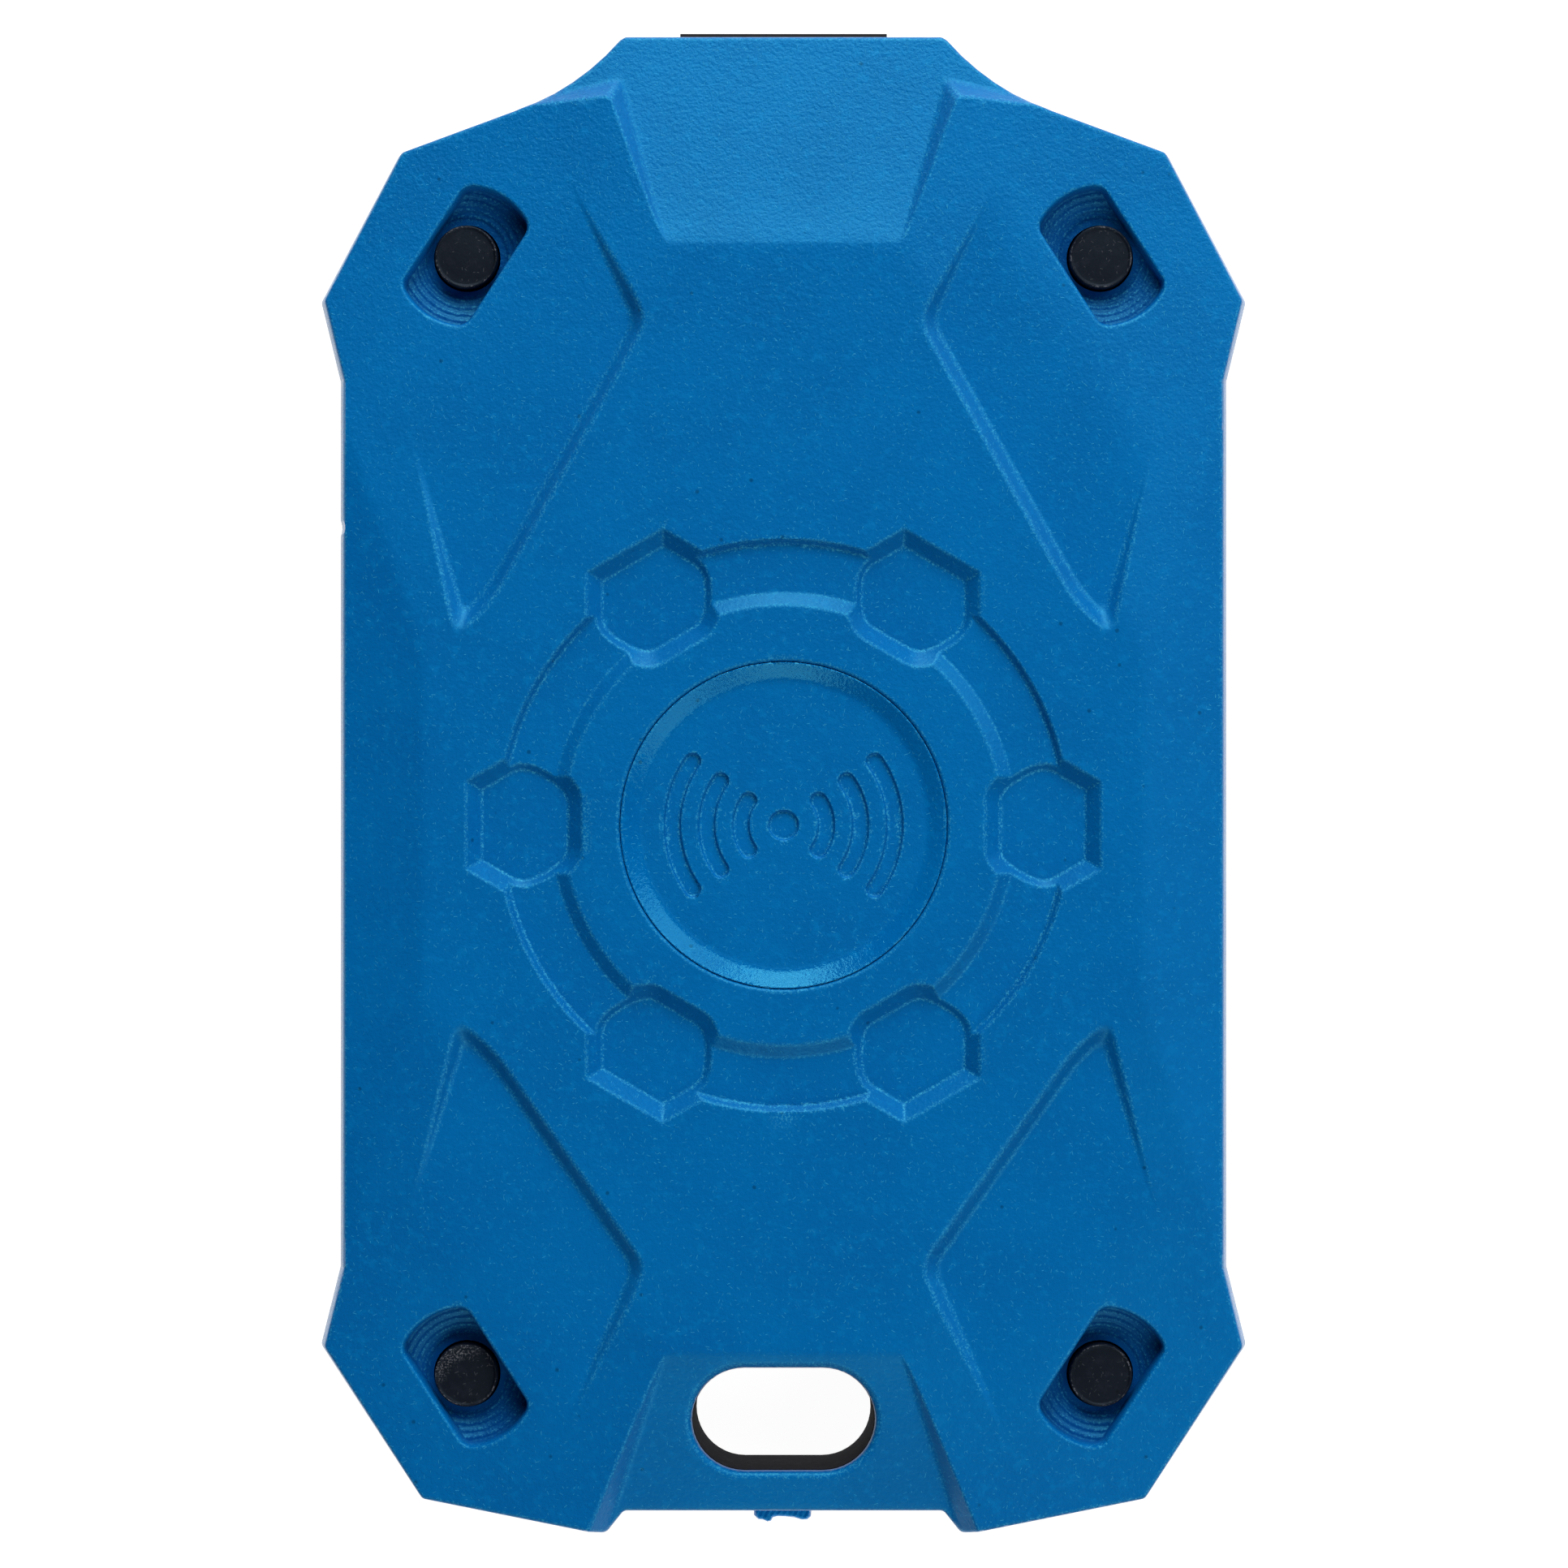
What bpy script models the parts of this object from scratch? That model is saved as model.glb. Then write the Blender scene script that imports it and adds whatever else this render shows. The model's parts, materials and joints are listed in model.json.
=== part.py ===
"""Rugged card-format Bluetooth tracker tag.

The tag lies on its back: +X is its right, +Y its top end (charging port), +Z out of its front.
Every length below is in millimetres; the meshes are written in metres.
"""
import math

import bmesh
import bpy
from mathutils import Matrix, Vector

MM = 0.001

# ---------------------------------------------------------------- driving dimensions
PLATEAU_Z = 9.6          # front face
PARTING_Z = 4.05         # middle of the joint between the two shells
PARTING_GAP = 0.3
CLEAR = 0.3              # gap kept between pieces that rest on each other

BODY_X = 28.7            # half width along the straight sides
CORNER_X = 30.0          # half width at the corner points
TOP_Y = 48.4             # top end face
TOP_HALF = 10.35         # half width of the top end face
LEG_Y = -48.35           # tips of the two lower corners
FOOT_Y = -46.9           # bottom end face, between the lower corners
FOOT_HALF = 10.45

BEVEL_X = 23.15          # where the side bevels leave the plateau
BEVEL_SLOPE = 0.29
BEVEL_TOP_Y = 8.7
BEVEL_LOW_Y = -14.0
CORNER_SLOPE = 0.127     # the four corner facets
TOP_FACET_DIR = (-0.858, 0.513)      # downhill direction of the upper left corner facet
LOW_FACET_DIR = (-0.822, -0.5695)    # and of the lower left one

PAD_STEP = 0.8           # depth of the four arrowhead pads
PAD_DRAFT = 0.75         # how far a pad's wall leans out, per unit of height
RAMP_SLOPE = 0.191
RAMP_TOP_Y = 34.8
RAMP_LOW_Y = -36.5
RAMP_DRAFT = 1.0

DIAL_Y = -2.6            # centre of the ring and of the press pad
RING_DEPTH = 0.55
RING_OUTER = 18.4
RING_INNER = 14.1
POD_DEPTH = 0.95
POD_RADIUS = 16.65
POD_HALF_RADIAL = 2.75   # floor of a pod, along the radius
POD_HALF_SIDE = 2.25     # half the length of its flat sides
POD_HALF_TALL = 3.85     # to its points, along the ring
POD_DRAFT = 1.1
PAD_HOLE_R = 10.55
CAP_R = 10.35

PIN_X = 20.5
PIN_TOP_Y = 34.1
PIN_LOW_Y = -38.15
PIN_R = 2.03
PIN_HOLE_R = 2.2
PIN_TOP_Z = 7.4
PIN_HEAD_R = 3.2
HEAD_SEAT_R = 3.5
HEAD_SEAT_Z = 1.6        # depth of the seats for the pins' heads, from the back
POCKET_R = 4.5
POCKET_HALF_FLAT = 2.5
POCKET_FLOOR_Z = 6.1
POCKET_ANGLE = math.radians(57.0)

SLOT_Y = -40.9
SLOT_HALF = 5.9
SLOT_R = 3.4

FLOOR_Z = 1.6            # inside of the rear shell
CEILING_Z = 7.4          # inside of the front shell
NECK_CEILING_Z = 6.3     # the same under the top ramp
NECK_Y = 36.0
NECK_X = 8.8
CAVITY_TOP_Y = 44.2

BOARD_Z = 2.4
BOARD_THICK = 0.8
BOARD_TOP_Z = BOARD_Z + BOARD_THICK
PART_Z = BOARD_TOP_Z + CLEAR         # underside of what is mounted on the board
BOARD_SCREW_X = 22.8
BOARD_SCREW_YS = (-10.3, 19.5)

PORT_Z = 3.6
PORT_HALF = 4.8
PORT_R = 1.9
PLUG_FACE_Y = 48.7
PLUG_HALF_X = 6.7
PLUG_Z = (1.3, 5.9)
STRAP_WAY_X = (-6.75, -4.95)         # passage for the plug's strap
STRAP_WAY_Z = (4.45, 5.75)

GATE_HALF_X = 1.9        # stub of the moulding gate on the bottom end face
GATE_TIP_Y = -47.9
GATE_Z = (4.6, 5.6)

GRIP_X = (19.0, 26.0)    # six cross grooves along each side of the back
GRIP_FIRST_Y = -20.0
GRIP_PITCH = 6.6
GRIP_WIDTH = 1.4
GRIP_DEPTH = 0.45

GROOVE_FLOOR_Z = 2.85    # gasket groove
CRADLE_TOP_Z = 3.3       # ribs that hold the battery

BATTERY_X = 21.0
BATTERY_Y = (-31.1, -16.1)
BATTERY_Z = (2.6, 6.5)
PIEZO_Y = 24.9

FINE = 72                # sides of the large round features
SMALL = 32               # sides of the small ones

CENTRE_Y = (PLUG_FACE_Y + LEG_Y) / 2


# ---------------------------------------------------------------- scene and materials
for old in list(bpy.data.objects):
    bpy.data.objects.remove(old, do_unlink=True)

parts = bpy.data.collections.new("tracker_tag")
cutters = bpy.data.collections.new("cutters")
bpy.context.scene.collection.children.link(parts)
bpy.context.scene.collection.children.link(cutters)

tag_frame = bpy.data.objects.new("tag_frame", None)
tag_frame.location = (0, -CENTRE_Y * MM, 0)
parts.objects.link(tag_frame)


def make_material(name, color, roughness, metallic=0.0):
    made = bpy.data.materials.new(name)
    made.use_nodes = True
    shader = made.node_tree.nodes["Principled BSDF"]
    shader.inputs["Base Color"].default_value = (*color, 1)
    shader.inputs["Roughness"].default_value = roughness
    shader.inputs["Metallic"].default_value = metallic
    return made


BLUE = make_material("blue_nylon", (0.0, 0.16, 0.46), 0.5)
BLACK = make_material("black_nylon", (0.012, 0.012, 0.014), 0.5)
SILICONE = make_material("black_silicone", (0.02, 0.02, 0.022), 0.75)
BOARD = make_material("board_laminate", (0.01, 0.09, 0.05), 0.4)
CHIP = make_material("chip_epoxy", (0.015, 0.015, 0.016), 0.45)
TIN = make_material("tinned_steel", (0.62, 0.62, 0.6), 0.3, 1.0)
BRASS = make_material("piezo_brass", (0.75, 0.52, 0.2), 0.35, 1.0)
CERAMIC = make_material("white_ceramic", (0.75, 0.74, 0.7), 0.5)
FOIL = make_material("pouch_foil", (0.5, 0.51, 0.53), 0.35, 0.9)
FOAM = make_material("grey_foam", (0.1, 0.1, 0.1), 0.95)
IVORY = make_material("ivory_nylon", (0.72, 0.69, 0.6), 0.5)
RED_WIRE = make_material("red_insulation", (0.5, 0.01, 0.01), 0.45)
BLACK_WIRE = make_material("black_insulation", (0.01, 0.01, 0.01), 0.45)
COPPER_FILM = make_material("coil_film", (0.35, 0.14, 0.05), 0.4, 0.3)


# ---------------------------------------------------------------- modelling helpers
def add_object(name, mesh, material=None):
    made = bpy.data.objects.new(name, mesh)
    made.parent = tag_frame
    if material is None:
        made.hide_render = True
        made.display_type = "WIRE"
        cutters.objects.link(made)
    else:
        mesh.materials.clear()
        mesh.materials.append(material)
        parts.objects.link(made)
    return made


def finish_mesh(name, bm):
    bmesh.ops.recalc_face_normals(bm, faces=bm.faces)
    mesh = bpy.data.meshes.new(name)
    bm.to_mesh(mesh)
    bm.free()
    return mesh


def box(name, x, y, z, material=None):
    """A box between two limits on each axis."""
    bm = bmesh.new()
    bmesh.ops.create_cube(bm, size=1)
    size = [(b - a) * MM for a, b in (x, y, z)]
    middle = [(a + b) / 2 * MM for a, b in (x, y, z)]
    bmesh.ops.scale(bm, vec=size, verts=bm.verts)
    bmesh.ops.translate(bm, vec=middle, verts=bm.verts)
    return add_object(name, finish_mesh(name, bm), material)


def cylinder(name, centre, radius, z, material=None, sides=SMALL):
    """An upright cylinder between two heights."""
    bm = bmesh.new()
    bmesh.ops.create_cone(bm, cap_ends=True, segments=sides, radius1=radius * MM,
                          radius2=radius * MM, depth=(z[1] - z[0]) * MM)
    bmesh.ops.translate(bm, vec=(centre[0] * MM, centre[1] * MM, (z[0] + z[1]) / 2 * MM),
                        verts=bm.verts)
    return add_object(name, finish_mesh(name, bm), material)


def prism(name, outline, z, material=None):
    """A flat outline, filled and extruded between two heights."""
    curve = bpy.data.curves.new(name, "CURVE")
    curve.dimensions = "2D"
    curve.fill_mode = "BOTH"
    curve.extrude = (z[1] - z[0]) / 2 * MM
    spline = curve.splines.new("POLY")
    spline.points.add(len(outline) - 1)
    for point, (x, y) in zip(spline.points, outline):
        point.co = (x * MM, y * MM, 0, 1)
    spline.use_cyclic_u = True
    flat = bpy.data.objects.new(name + "_curve", curve)
    cutters.objects.link(flat)
    bpy.context.view_layer.update()
    graph = bpy.context.evaluated_depsgraph_get()
    mesh = bpy.data.meshes.new_from_object(flat.evaluated_get(graph))
    bpy.data.objects.remove(flat, do_unlink=True)
    bm = bmesh.new()
    bm.from_mesh(mesh)
    bpy.data.meshes.remove(mesh)
    bmesh.ops.remove_doubles(bm, verts=bm.verts, dist=1e-6)
    bmesh.ops.translate(bm, vec=(0, 0, (z[0] + z[1]) / 2 * MM), verts=bm.verts)
    return add_object(name, finish_mesh(name, bm), material)


def turned(name, profile, centre, material=None, steps=FINE, closed=False):
    """A profile of (radius, height) points, listed top to bottom, turned about an upright axis."""
    mesh = bpy.data.meshes.new(name)
    points = [(r * MM, 0, h * MM) for r, h in profile]
    edges = [(i, i + 1) for i in range(len(points) - 1)]
    if closed:
        edges.append((len(points) - 1, 0))
    mesh.from_pydata(points, edges, [])
    made = add_object(name, mesh, material)
    made.location = (centre[0] * MM, centre[1] * MM, 0)
    screw = made.modifiers.new("turn", "SCREW")
    screw.steps = steps
    screw.render_steps = steps
    screw.use_merge_vertices = True
    screw.merge_threshold = 0.00001
    screw.use_smooth_shade = False
    return made


def tube(name, points, radius, material):
    """A short wire along a smooth route through hand-placed points."""
    curve = bpy.data.curves.new(name, "CURVE")
    curve.dimensions = "3D"
    curve.bevel_depth = radius * MM
    curve.bevel_resolution = 2
    curve.use_fill_caps = True
    route = smooth_route([Vector(p) for p in points], 5)
    spline = curve.splines.new("POLY")
    spline.points.add(len(route) - 1)
    for point, place in zip(spline.points, route):
        point.co = (*(place * MM), 1)
    curve.materials.append(material)
    made = bpy.data.objects.new(name, curve)
    made.parent = tag_frame
    parts.objects.link(made)
    return made


def smooth_route(points, steps):
    """Catmull-Rom curve through the points."""
    ends = [points[0] * 2 - points[1]] + points + [points[-1] * 2 - points[-2]]
    route = []
    for a, b, c, d in zip(ends, ends[1:], ends[2:], ends[3:]):
        for i in range(steps):
            t = i / steps
            route.append(0.5 * (2 * b + (c - a) * t + (2 * a - 5 * b + 4 * c - d) * t * t
                                + (3 * b - a - 3 * c + d) * t ** 3))
    route.append(points[-1])
    return route


def half_space(name, point, downhill, slope):
    """A large block above the plane through point that falls along downhill."""
    reach = 120.0
    normal = Vector((downhill[0] * slope, downhill[1] * slope, 1)).normalized()
    bm = bmesh.new()
    bmesh.ops.create_cube(bm, size=reach * MM)
    turn = Vector((0, 0, 1)).rotation_difference(normal).to_matrix().to_4x4()
    place = Matrix.Translation((Vector(point) + normal * reach / 2) * MM)
    bmesh.ops.transform(bm, matrix=place @ turn, verts=bm.verts)
    return add_object(name, finish_mesh(name, bm))


def flared_block(name, outline, floor, draft, top_z=13.0):
    """A convex block on a floor, floor(x, y) giving its height, whose walls lean out by draft."""
    feet = [Vector((x, y, floor(x, y))) for x, y in outline]
    count = len(feet)
    lines = []
    for i in range(count):
        a, b = feet[i], feet[(i + 1) % count]
        out = Vector((b.y - a.y, a.x - b.x)).normalized()
        lines.append([(p.xy + out * draft * (top_z - p.z)) for p in (a, b)])
    heads = []
    for i in range(count):
        (p, q), (r, s) = lines[i - 1], lines[i]
        u, v = q - p, s - r
        t = ((r.x - p.x) * v.y - (r.y - p.y) * v.x) / (u.x * v.y - u.y * v.x)
        heads.append(Vector((*(p + u * t), top_z)))
    bm = bmesh.new()
    for corner in feet + heads:
        bm.verts.new(corner * MM)
    bmesh.ops.convex_hull(bm, input=bm.verts)
    return add_object(name, finish_mesh(name, bm))


def cut(target, *tools):
    for tool in tools:
        boolean = target.modifiers.new("cut_" + tool.name, "BOOLEAN")
        boolean.operation = "DIFFERENCE"
        boolean.object = tool


def join(target, *tools):
    for tool in tools:
        boolean = target.modifiers.new("join_" + tool.name, "BOOLEAN")
        boolean.operation = "UNION"
        boolean.object = tool


def arc(centre, radius, start, end, steps):
    """Points on an arc, angles in degrees."""
    angles = [math.radians(start + (end - start) * i / steps) for i in range(steps + 1)]
    return [(centre[0] + radius * math.cos(a), centre[1] + radius * math.sin(a)) for a in angles]


def mirrored(right_half):
    """Closes an outline from its right half, listed from the bottom to the top."""
    return right_half + [(-x, y) for x, y in reversed(right_half)]


def stadium(centre, half_length, radius, steps=16):
    x, y = centre
    straight = half_length - radius
    return (arc((x + straight, y), radius, -90, 90, steps)
            + arc((x - straight, y), radius, 90, 270, steps))


# ---------------------------------------------------------------- outlines
SHOULDER_ARC = arc((23.07, 58.8), 16.3, 220.6, 250, 6)   # hollow curve beside the top end face


def case_outline():
    right = [(FOOT_HALF, FOOT_Y), (11.6, LEG_Y), (23.6, -46.1), (CORNER_X, -36.3),
             (BODY_X, -31.2), (BODY_X, 26.1), (CORNER_X, 31.3), (24.95, 40.85)]
    right += list(reversed(SHOULDER_ARC))
    right += [(TOP_HALF, TOP_Y)]
    return mirrored(right)


def cavity_outline(grow=0.0):
    """Inside of the case; grow moves every side outwards."""
    diagonal = grow * 0.414
    steep = grow * 0.6
    right = [(21.5 + diagonal, -31.8 - grow), (25.6 + grow, -27.7 - diagonal),
             (25.6 + grow, 23.8 + steep), (12.6 + diagonal, 31.6 + grow * 0.9),
             (NECK_X + grow, 35.5 + diagonal), (NECK_X + grow, CAVITY_TOP_Y + grow)]
    return mirrored(right)


def ramp_floor(x, y):
    """Height of the top or bottom ramp."""
    run = y - RAMP_TOP_Y if y > 0 else RAMP_LOW_Y - y
    return PLATEAU_Z - RAMP_SLOPE * run


def corner_signs():
    return [(sx, sy) for sy in (1, -1) for sx in (-1, 1)]


# ---------------------------------------------------------------- tools shared by both shells
slot_tool = prism("slot_tool", stadium((0, SLOT_Y), SLOT_HALF, SLOT_R), (-3, 14))


def port_prism(name, half_length, radius, y, material=None):
    """A flat-oval prism on the port's axis, between two places along Y."""
    half = (y[1] - y[0]) / 2
    made = prism(name, stadium((0, 0), half_length, radius, 8), (-half, half), material)
    made.rotation_euler = (math.radians(90), 0, 0)
    made.location = (0, (y[0] + y[1]) / 2 * MM, PORT_Z * MM)
    return made


def port_tools():
    """The way in to the charging port, and the seat of its cover's flange."""
    mouth = port_prism("port_mouth", PORT_HALF, PORT_R, (CAVITY_TOP_Y - 2, TOP_Y + 3))
    seat = box("port_seat", (-PLUG_HALF_X - 0.25, PLUG_HALF_X + 0.25), (TOP_Y - 1.3, TOP_Y + 4),
               (PLUG_Z[0] - CLEAR, PLUG_Z[1] + CLEAR))
    return mouth, seat


port_mouth, port_seat = port_tools()

PIN_CENTRES = [(sx * PIN_X, PIN_TOP_Y if sy > 0 else PIN_LOW_Y) for sx, sy in corner_signs()]
pin_holes = [cylinder(f"pin_hole_{i}", c, PIN_HOLE_R, (-3, 14))
             for i, c in enumerate(PIN_CENTRES, 1)]


# ---------------------------------------------------------------- front shell
def facet_tools():
    """Side bevels and corner facets, as blocks above sloping planes."""
    tools = []
    for side in (-1, 1):
        tools.append(half_space(f"bevel_{side}", (side * BEVEL_X, 0, PLATEAU_Z), (side, 0),
                                BEVEL_SLOPE))
        for start_y, (dx, dy) in ((BEVEL_TOP_Y, TOP_FACET_DIR), (BEVEL_LOW_Y, LOW_FACET_DIR)):
            tools.append(half_space(f"facet_{side}_{start_y}", (side * BEVEL_X, start_y, PLATEAU_Z),
                                    (-side * dx, dy), CORNER_SLOPE))
    return tools


def ramp_tools():
    """Trapezoid ramps at both ends, and the low ledge beside the top one."""
    top = [(-7.6, RAMP_TOP_Y), (-10.6, 46.0), (-11.6, 60), (11.6, 60), (10.6, 46.0),
           (7.6, RAMP_TOP_Y)]
    low = [(-7.6, RAMP_LOW_Y), (7.6, RAMP_LOW_Y), (10.9, -46.9), (13.0, -53), (-13.0, -53),
           (-10.9, -46.9)]
    tools = [flared_block("top_ramp", list(reversed(top)), ramp_floor, RAMP_DRAFT),
             flared_block("low_ramp", low, ramp_floor, RAMP_DRAFT)]
    for side in (-1, 1):
        ledge = [(side * x, y) for x, y in ((9.0, 45.9), (15.5, 44.4), (15.5, 60), (9.0, 60))]
        if side < 0:
            ledge.reverse()
        tools.append(flared_block(f"ledge_{side}", ledge, ramp_floor, RAMP_DRAFT * 0.4))
    return tools


def pad_tools():
    """Arrowhead pads let into the four corners; they run out where the corner facets fall."""
    upper = [(-9.6, 29.8), (-19.5, 11.8), (-20.6, 11.0), (-29.5, 41.0), (-17.4, 46.9)]
    lower = [(-9.7, -31.0), (-16.3, -47.0), (-29.0, -43.0), (-20.5, -16.4), (-19.5, -17.0)]
    tools = []
    for side in (-1, 1):
        for label, outline in (("upper", upper), ("lower", lower)):
            placed = [(-side * x, y) for x, y in outline]
            turns_left = sum(a[0] * b[1] - b[0] * a[1]
                             for a, b in zip(placed, placed[1:] + placed[:1])) > 0
            if not turns_left:
                placed.reverse()
            tools.append(flared_block(f"pad_{label}_{side}", placed,
                                      lambda x, y: PLATEAU_Z - PAD_STEP, PAD_DRAFT))
    return tools


def dial_tools():
    """Ring channel, its six pods, and the hole for the press pad."""
    floor = PLATEAU_Z - RING_DEPTH
    above = 0.6
    outer_wall = 0.36
    inner_wall = 0.85
    outer_lean = outer_wall / RING_DEPTH * above
    inner_lean = inner_wall / RING_DEPTH * above
    ring = turned("ring_tool", [(RING_INNER - inner_lean, PLATEAU_Z + above),
                                (RING_OUTER + outer_lean, PLATEAU_Z + above),
                                (RING_OUTER - outer_wall, floor),
                                (RING_INNER + inner_wall, floor)],
                  (0, DIAL_Y), closed=True)
    tools = [ring]
    pod = [(POD_HALF_RADIAL, -POD_HALF_SIDE), (POD_HALF_RADIAL, POD_HALF_SIDE),
           (0, POD_HALF_TALL), (-POD_HALF_RADIAL, POD_HALF_SIDE),
           (-POD_HALF_RADIAL, -POD_HALF_SIDE), (0, -POD_HALF_TALL)]
    for i in range(6):
        angle = math.radians(60 * i)
        c, s = math.cos(angle), math.sin(angle)
        placed = [((x + POD_RADIUS) * c - y * s, (x + POD_RADIUS) * s + y * c + DIAL_Y)
                  for x, y in pod]
        tools.append(flared_block(f"pod_{i}", placed, lambda x, y: PLATEAU_Z - POD_DEPTH,
                                  POD_DRAFT, PLATEAU_Z + 1))
    tools.append(cylinder("pad_hole", (0, DIAL_Y), PAD_HOLE_R, (5, 14), sides=FINE))
    return tools


def pocket_tools():
    """Double-D pockets round the four pins."""
    reach = math.degrees(math.asin(POCKET_HALF_FLAT / POCKET_R))
    shape = (arc((0, 0), POCKET_R, -reach, reach, 8)
             + arc((0, 0), POCKET_R, 180 - reach, 180 + reach, 8))
    tools = []
    for i, ((sx, sy), (cx, cy)) in enumerate(zip(corner_signs(), PIN_CENTRES), 1):
        turn = POCKET_ANGLE if sx * sy < 0 else math.pi - POCKET_ANGLE
        c, s = math.cos(turn), math.sin(turn)
        placed = [(cx + x * c - y * s, cy + x * s + y * c) for x, y in shape]
        tools.append(prism(f"pocket_{i}", placed, (POCKET_FLOOR_Z, 14)))
    return tools


def front_shell():
    base_z = PARTING_Z + PARTING_GAP / 2
    shell = prism("front_shell", case_outline(), (base_z, PLATEAU_Z), BLUE)
    hall = prism("front_hall", [(x, min(y, NECK_Y)) for x, y in cavity_outline()], (2, CEILING_Z))
    neck = box("front_neck", (-NECK_X, NECK_X), (NECK_Y - 2, CAVITY_TOP_Y), (2, NECK_CEILING_Z))
    strap_way = box("strap_way", STRAP_WAY_X, (CAVITY_TOP_Y - 2, TOP_Y - 0.8), STRAP_WAY_Z)
    cut(shell, *facet_tools(), *ramp_tools(), *pad_tools(), *dial_tools(), *pocket_tools(),
        slot_tool, hall, neck, port_mouth, port_seat, strap_way, *pin_holes)
    gate = box("gate_stub", (-GATE_HALF_X, GATE_HALF_X), (GATE_TIP_Y, FOOT_Y + 0.5), GATE_Z)
    join(shell, gate)
    return shell


# ---------------------------------------------------------------- rear shell
def gasket_channel():
    """Groove for the case gasket, open across the port."""
    top_z = PARTING_Z
    outer = prism("groove_outer", cavity_outline(1.9), (GROOVE_FLOOR_Z, top_z + 2))
    inner = prism("groove_inner", cavity_outline(0.7), (0, top_z + 4))
    gap = box("groove_gap", (-7.0, 7.0), (CAVITY_TOP_Y, TOP_Y + 3), (0, top_z + 4))
    cut(outer, inner, gap)
    return outer


def rear_shell():
    top_z = PARTING_Z - PARTING_GAP / 2
    shell = prism("rear_shell", case_outline(), (0, top_z), BLACK)
    hall = prism("rear_hall", cavity_outline(), (FLOOR_Z, 14))
    cut(shell, hall, gasket_channel(), slot_tool, port_mouth, port_seat, *pin_holes)
    for i, centre in enumerate(PIN_CENTRES, 1):
        cut(shell, cylinder(f"head_seat_{i}", centre, HEAD_SEAT_R, (-2, HEAD_SEAT_Z)))
    for side in (-1, 1):
        for i in range(6):
            y = GRIP_FIRST_Y + i * GRIP_PITCH
            cut(shell, box(f"grip_{side}_{i}", sorted(side * x for x in GRIP_X),
                           (y, y + GRIP_WIDTH), (-2, GRIP_DEPTH)))
    screws = [(side * BOARD_SCREW_X, y) for y in BOARD_SCREW_YS for side in (-1, 1)]
    for i, centre in enumerate(screws, 1):
        join(shell, cylinder(f"standoff_{i}", centre, 2.3, (FLOOR_Z - 0.4, BOARD_Z - CLEAR)))
        cut(shell, cylinder(f"standoff_bore_{i}", centre, 1.1, (0.8, 6)))
    ribs = (((-14.0, 14.0), (-14.9, -14.1)), ((-24.4, -23.6), (-29.0, -18.0)))
    for i, (x, y) in enumerate(ribs):
        join(shell, box(f"cradle_rib_{i}", x, y, (FLOOR_Z - 0.4, CRADLE_TOP_Z)))
    return shell


# ---------------------------------------------------------------- outside pieces
def retaining_pins():
    profile = [(0, PIN_TOP_Z), (PIN_R - 0.25, PIN_TOP_Z), (PIN_R, PIN_TOP_Z - 0.2),
               (PIN_R, HEAD_SEAT_Z - CLEAR), (PIN_HEAD_R, HEAD_SEAT_Z - CLEAR),
               (PIN_HEAD_R, 0.35), (PIN_HEAD_R - 0.25, 0.15), (0, 0.15)]
    for i, centre in enumerate(PIN_CENTRES, 1):
        turned(f"retaining_pin_{i}", profile, centre, BLACK, steps=SMALL)


def press_pad():
    dish = 8.95
    profile = [(0, dish), (9.55, dish), (CAP_R - 0.1, PLATEAU_Z - 0.05), (CAP_R, PLATEAU_Z - 0.15),
               (CAP_R, 7.1), (11.9, 7.1), (11.9, 6.4), (9.4, 6.4), (9.4, 7.95), (2.0, 7.95),
               (2.0, 5.9), (0, 5.9)]
    turned("button_cap", profile, (0, DIAL_Y), BLUE)
    boot = [(13.0, 6.4), (13.0, 5.4), (12.2, 5.4), (12.0, 5.6), (9.9, 5.6), (9.9, 5.9),
            (12.0, 5.9), (12.3, 6.4)]
    turned("button_boot", boot, (0, DIAL_Y), SILICONE, closed=True)
    ring = [(13.0, 5.1), (13.0, PART_Z), (10.2, PART_Z), (10.2, 5.1)]
    turned("boot_frame", ring, (0, DIAL_Y), IVORY, closed=True)


def port_plug():
    plug = box("port_plug", (-PLUG_HALF_X, PLUG_HALF_X), (TOP_Y - 1.0, PLUG_FACE_Y), PLUG_Z,
               SILICONE)
    nose = port_prism("plug_nose", 3.7, 0.9, (TOP_Y - 2.3, TOP_Y - 0.5))
    strap = box("plug_strap", (-6.4, -5.3), (37.4, TOP_Y - 0.6), (4.75, 5.45))
    stop = box("plug_stop", (-7.0, -4.8), (37.0, 37.8), (4.7, 5.5))
    join(plug, nose, strap, stop)


def case_gasket():
    """Flat cord in the groove, open at the port."""
    z = (3.2, PARTING_Z - PARTING_GAP / 2)
    ring = prism("case_gasket", cavity_outline(1.65), z, SILICONE)
    inner = prism("gasket_inner", cavity_outline(0.95), (0, 9))
    gap = box("gasket_gap", (-7.3, 7.3), (CAVITY_TOP_Y, TOP_Y + 3), (0, 9))
    cut(ring, inner, gap)


# ---------------------------------------------------------------- electronics
def main_board():
    right = [(25.0, -13.2), (25.0, 23.4), (12.3, 31.0), (8.4, 35.0), (8.4, 43.8), (4.8, 43.8),
             (4.8, 39.2)]
    board = prism("main_board", mirrored(right), (BOARD_Z, BOARD_TOP_Z), BOARD)
    screws = [(side * BOARD_SCREW_X, y) for y in BOARD_SCREW_YS for side in (-1, 1)]
    for i, centre in enumerate(screws, 1):
        cut(board, cylinder(f"board_hole_{i}", centre, 1.15, (0, 6)))
        head = [(0, 4.3), (1.3, 4.3), (1.5, 4.1), (1.5, PART_Z), (0.8, PART_Z), (0.8, 1.1),
                (0, 1.1)]
        turned(f"board_screw_{i}", head, centre, TIN, steps=24)


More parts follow.
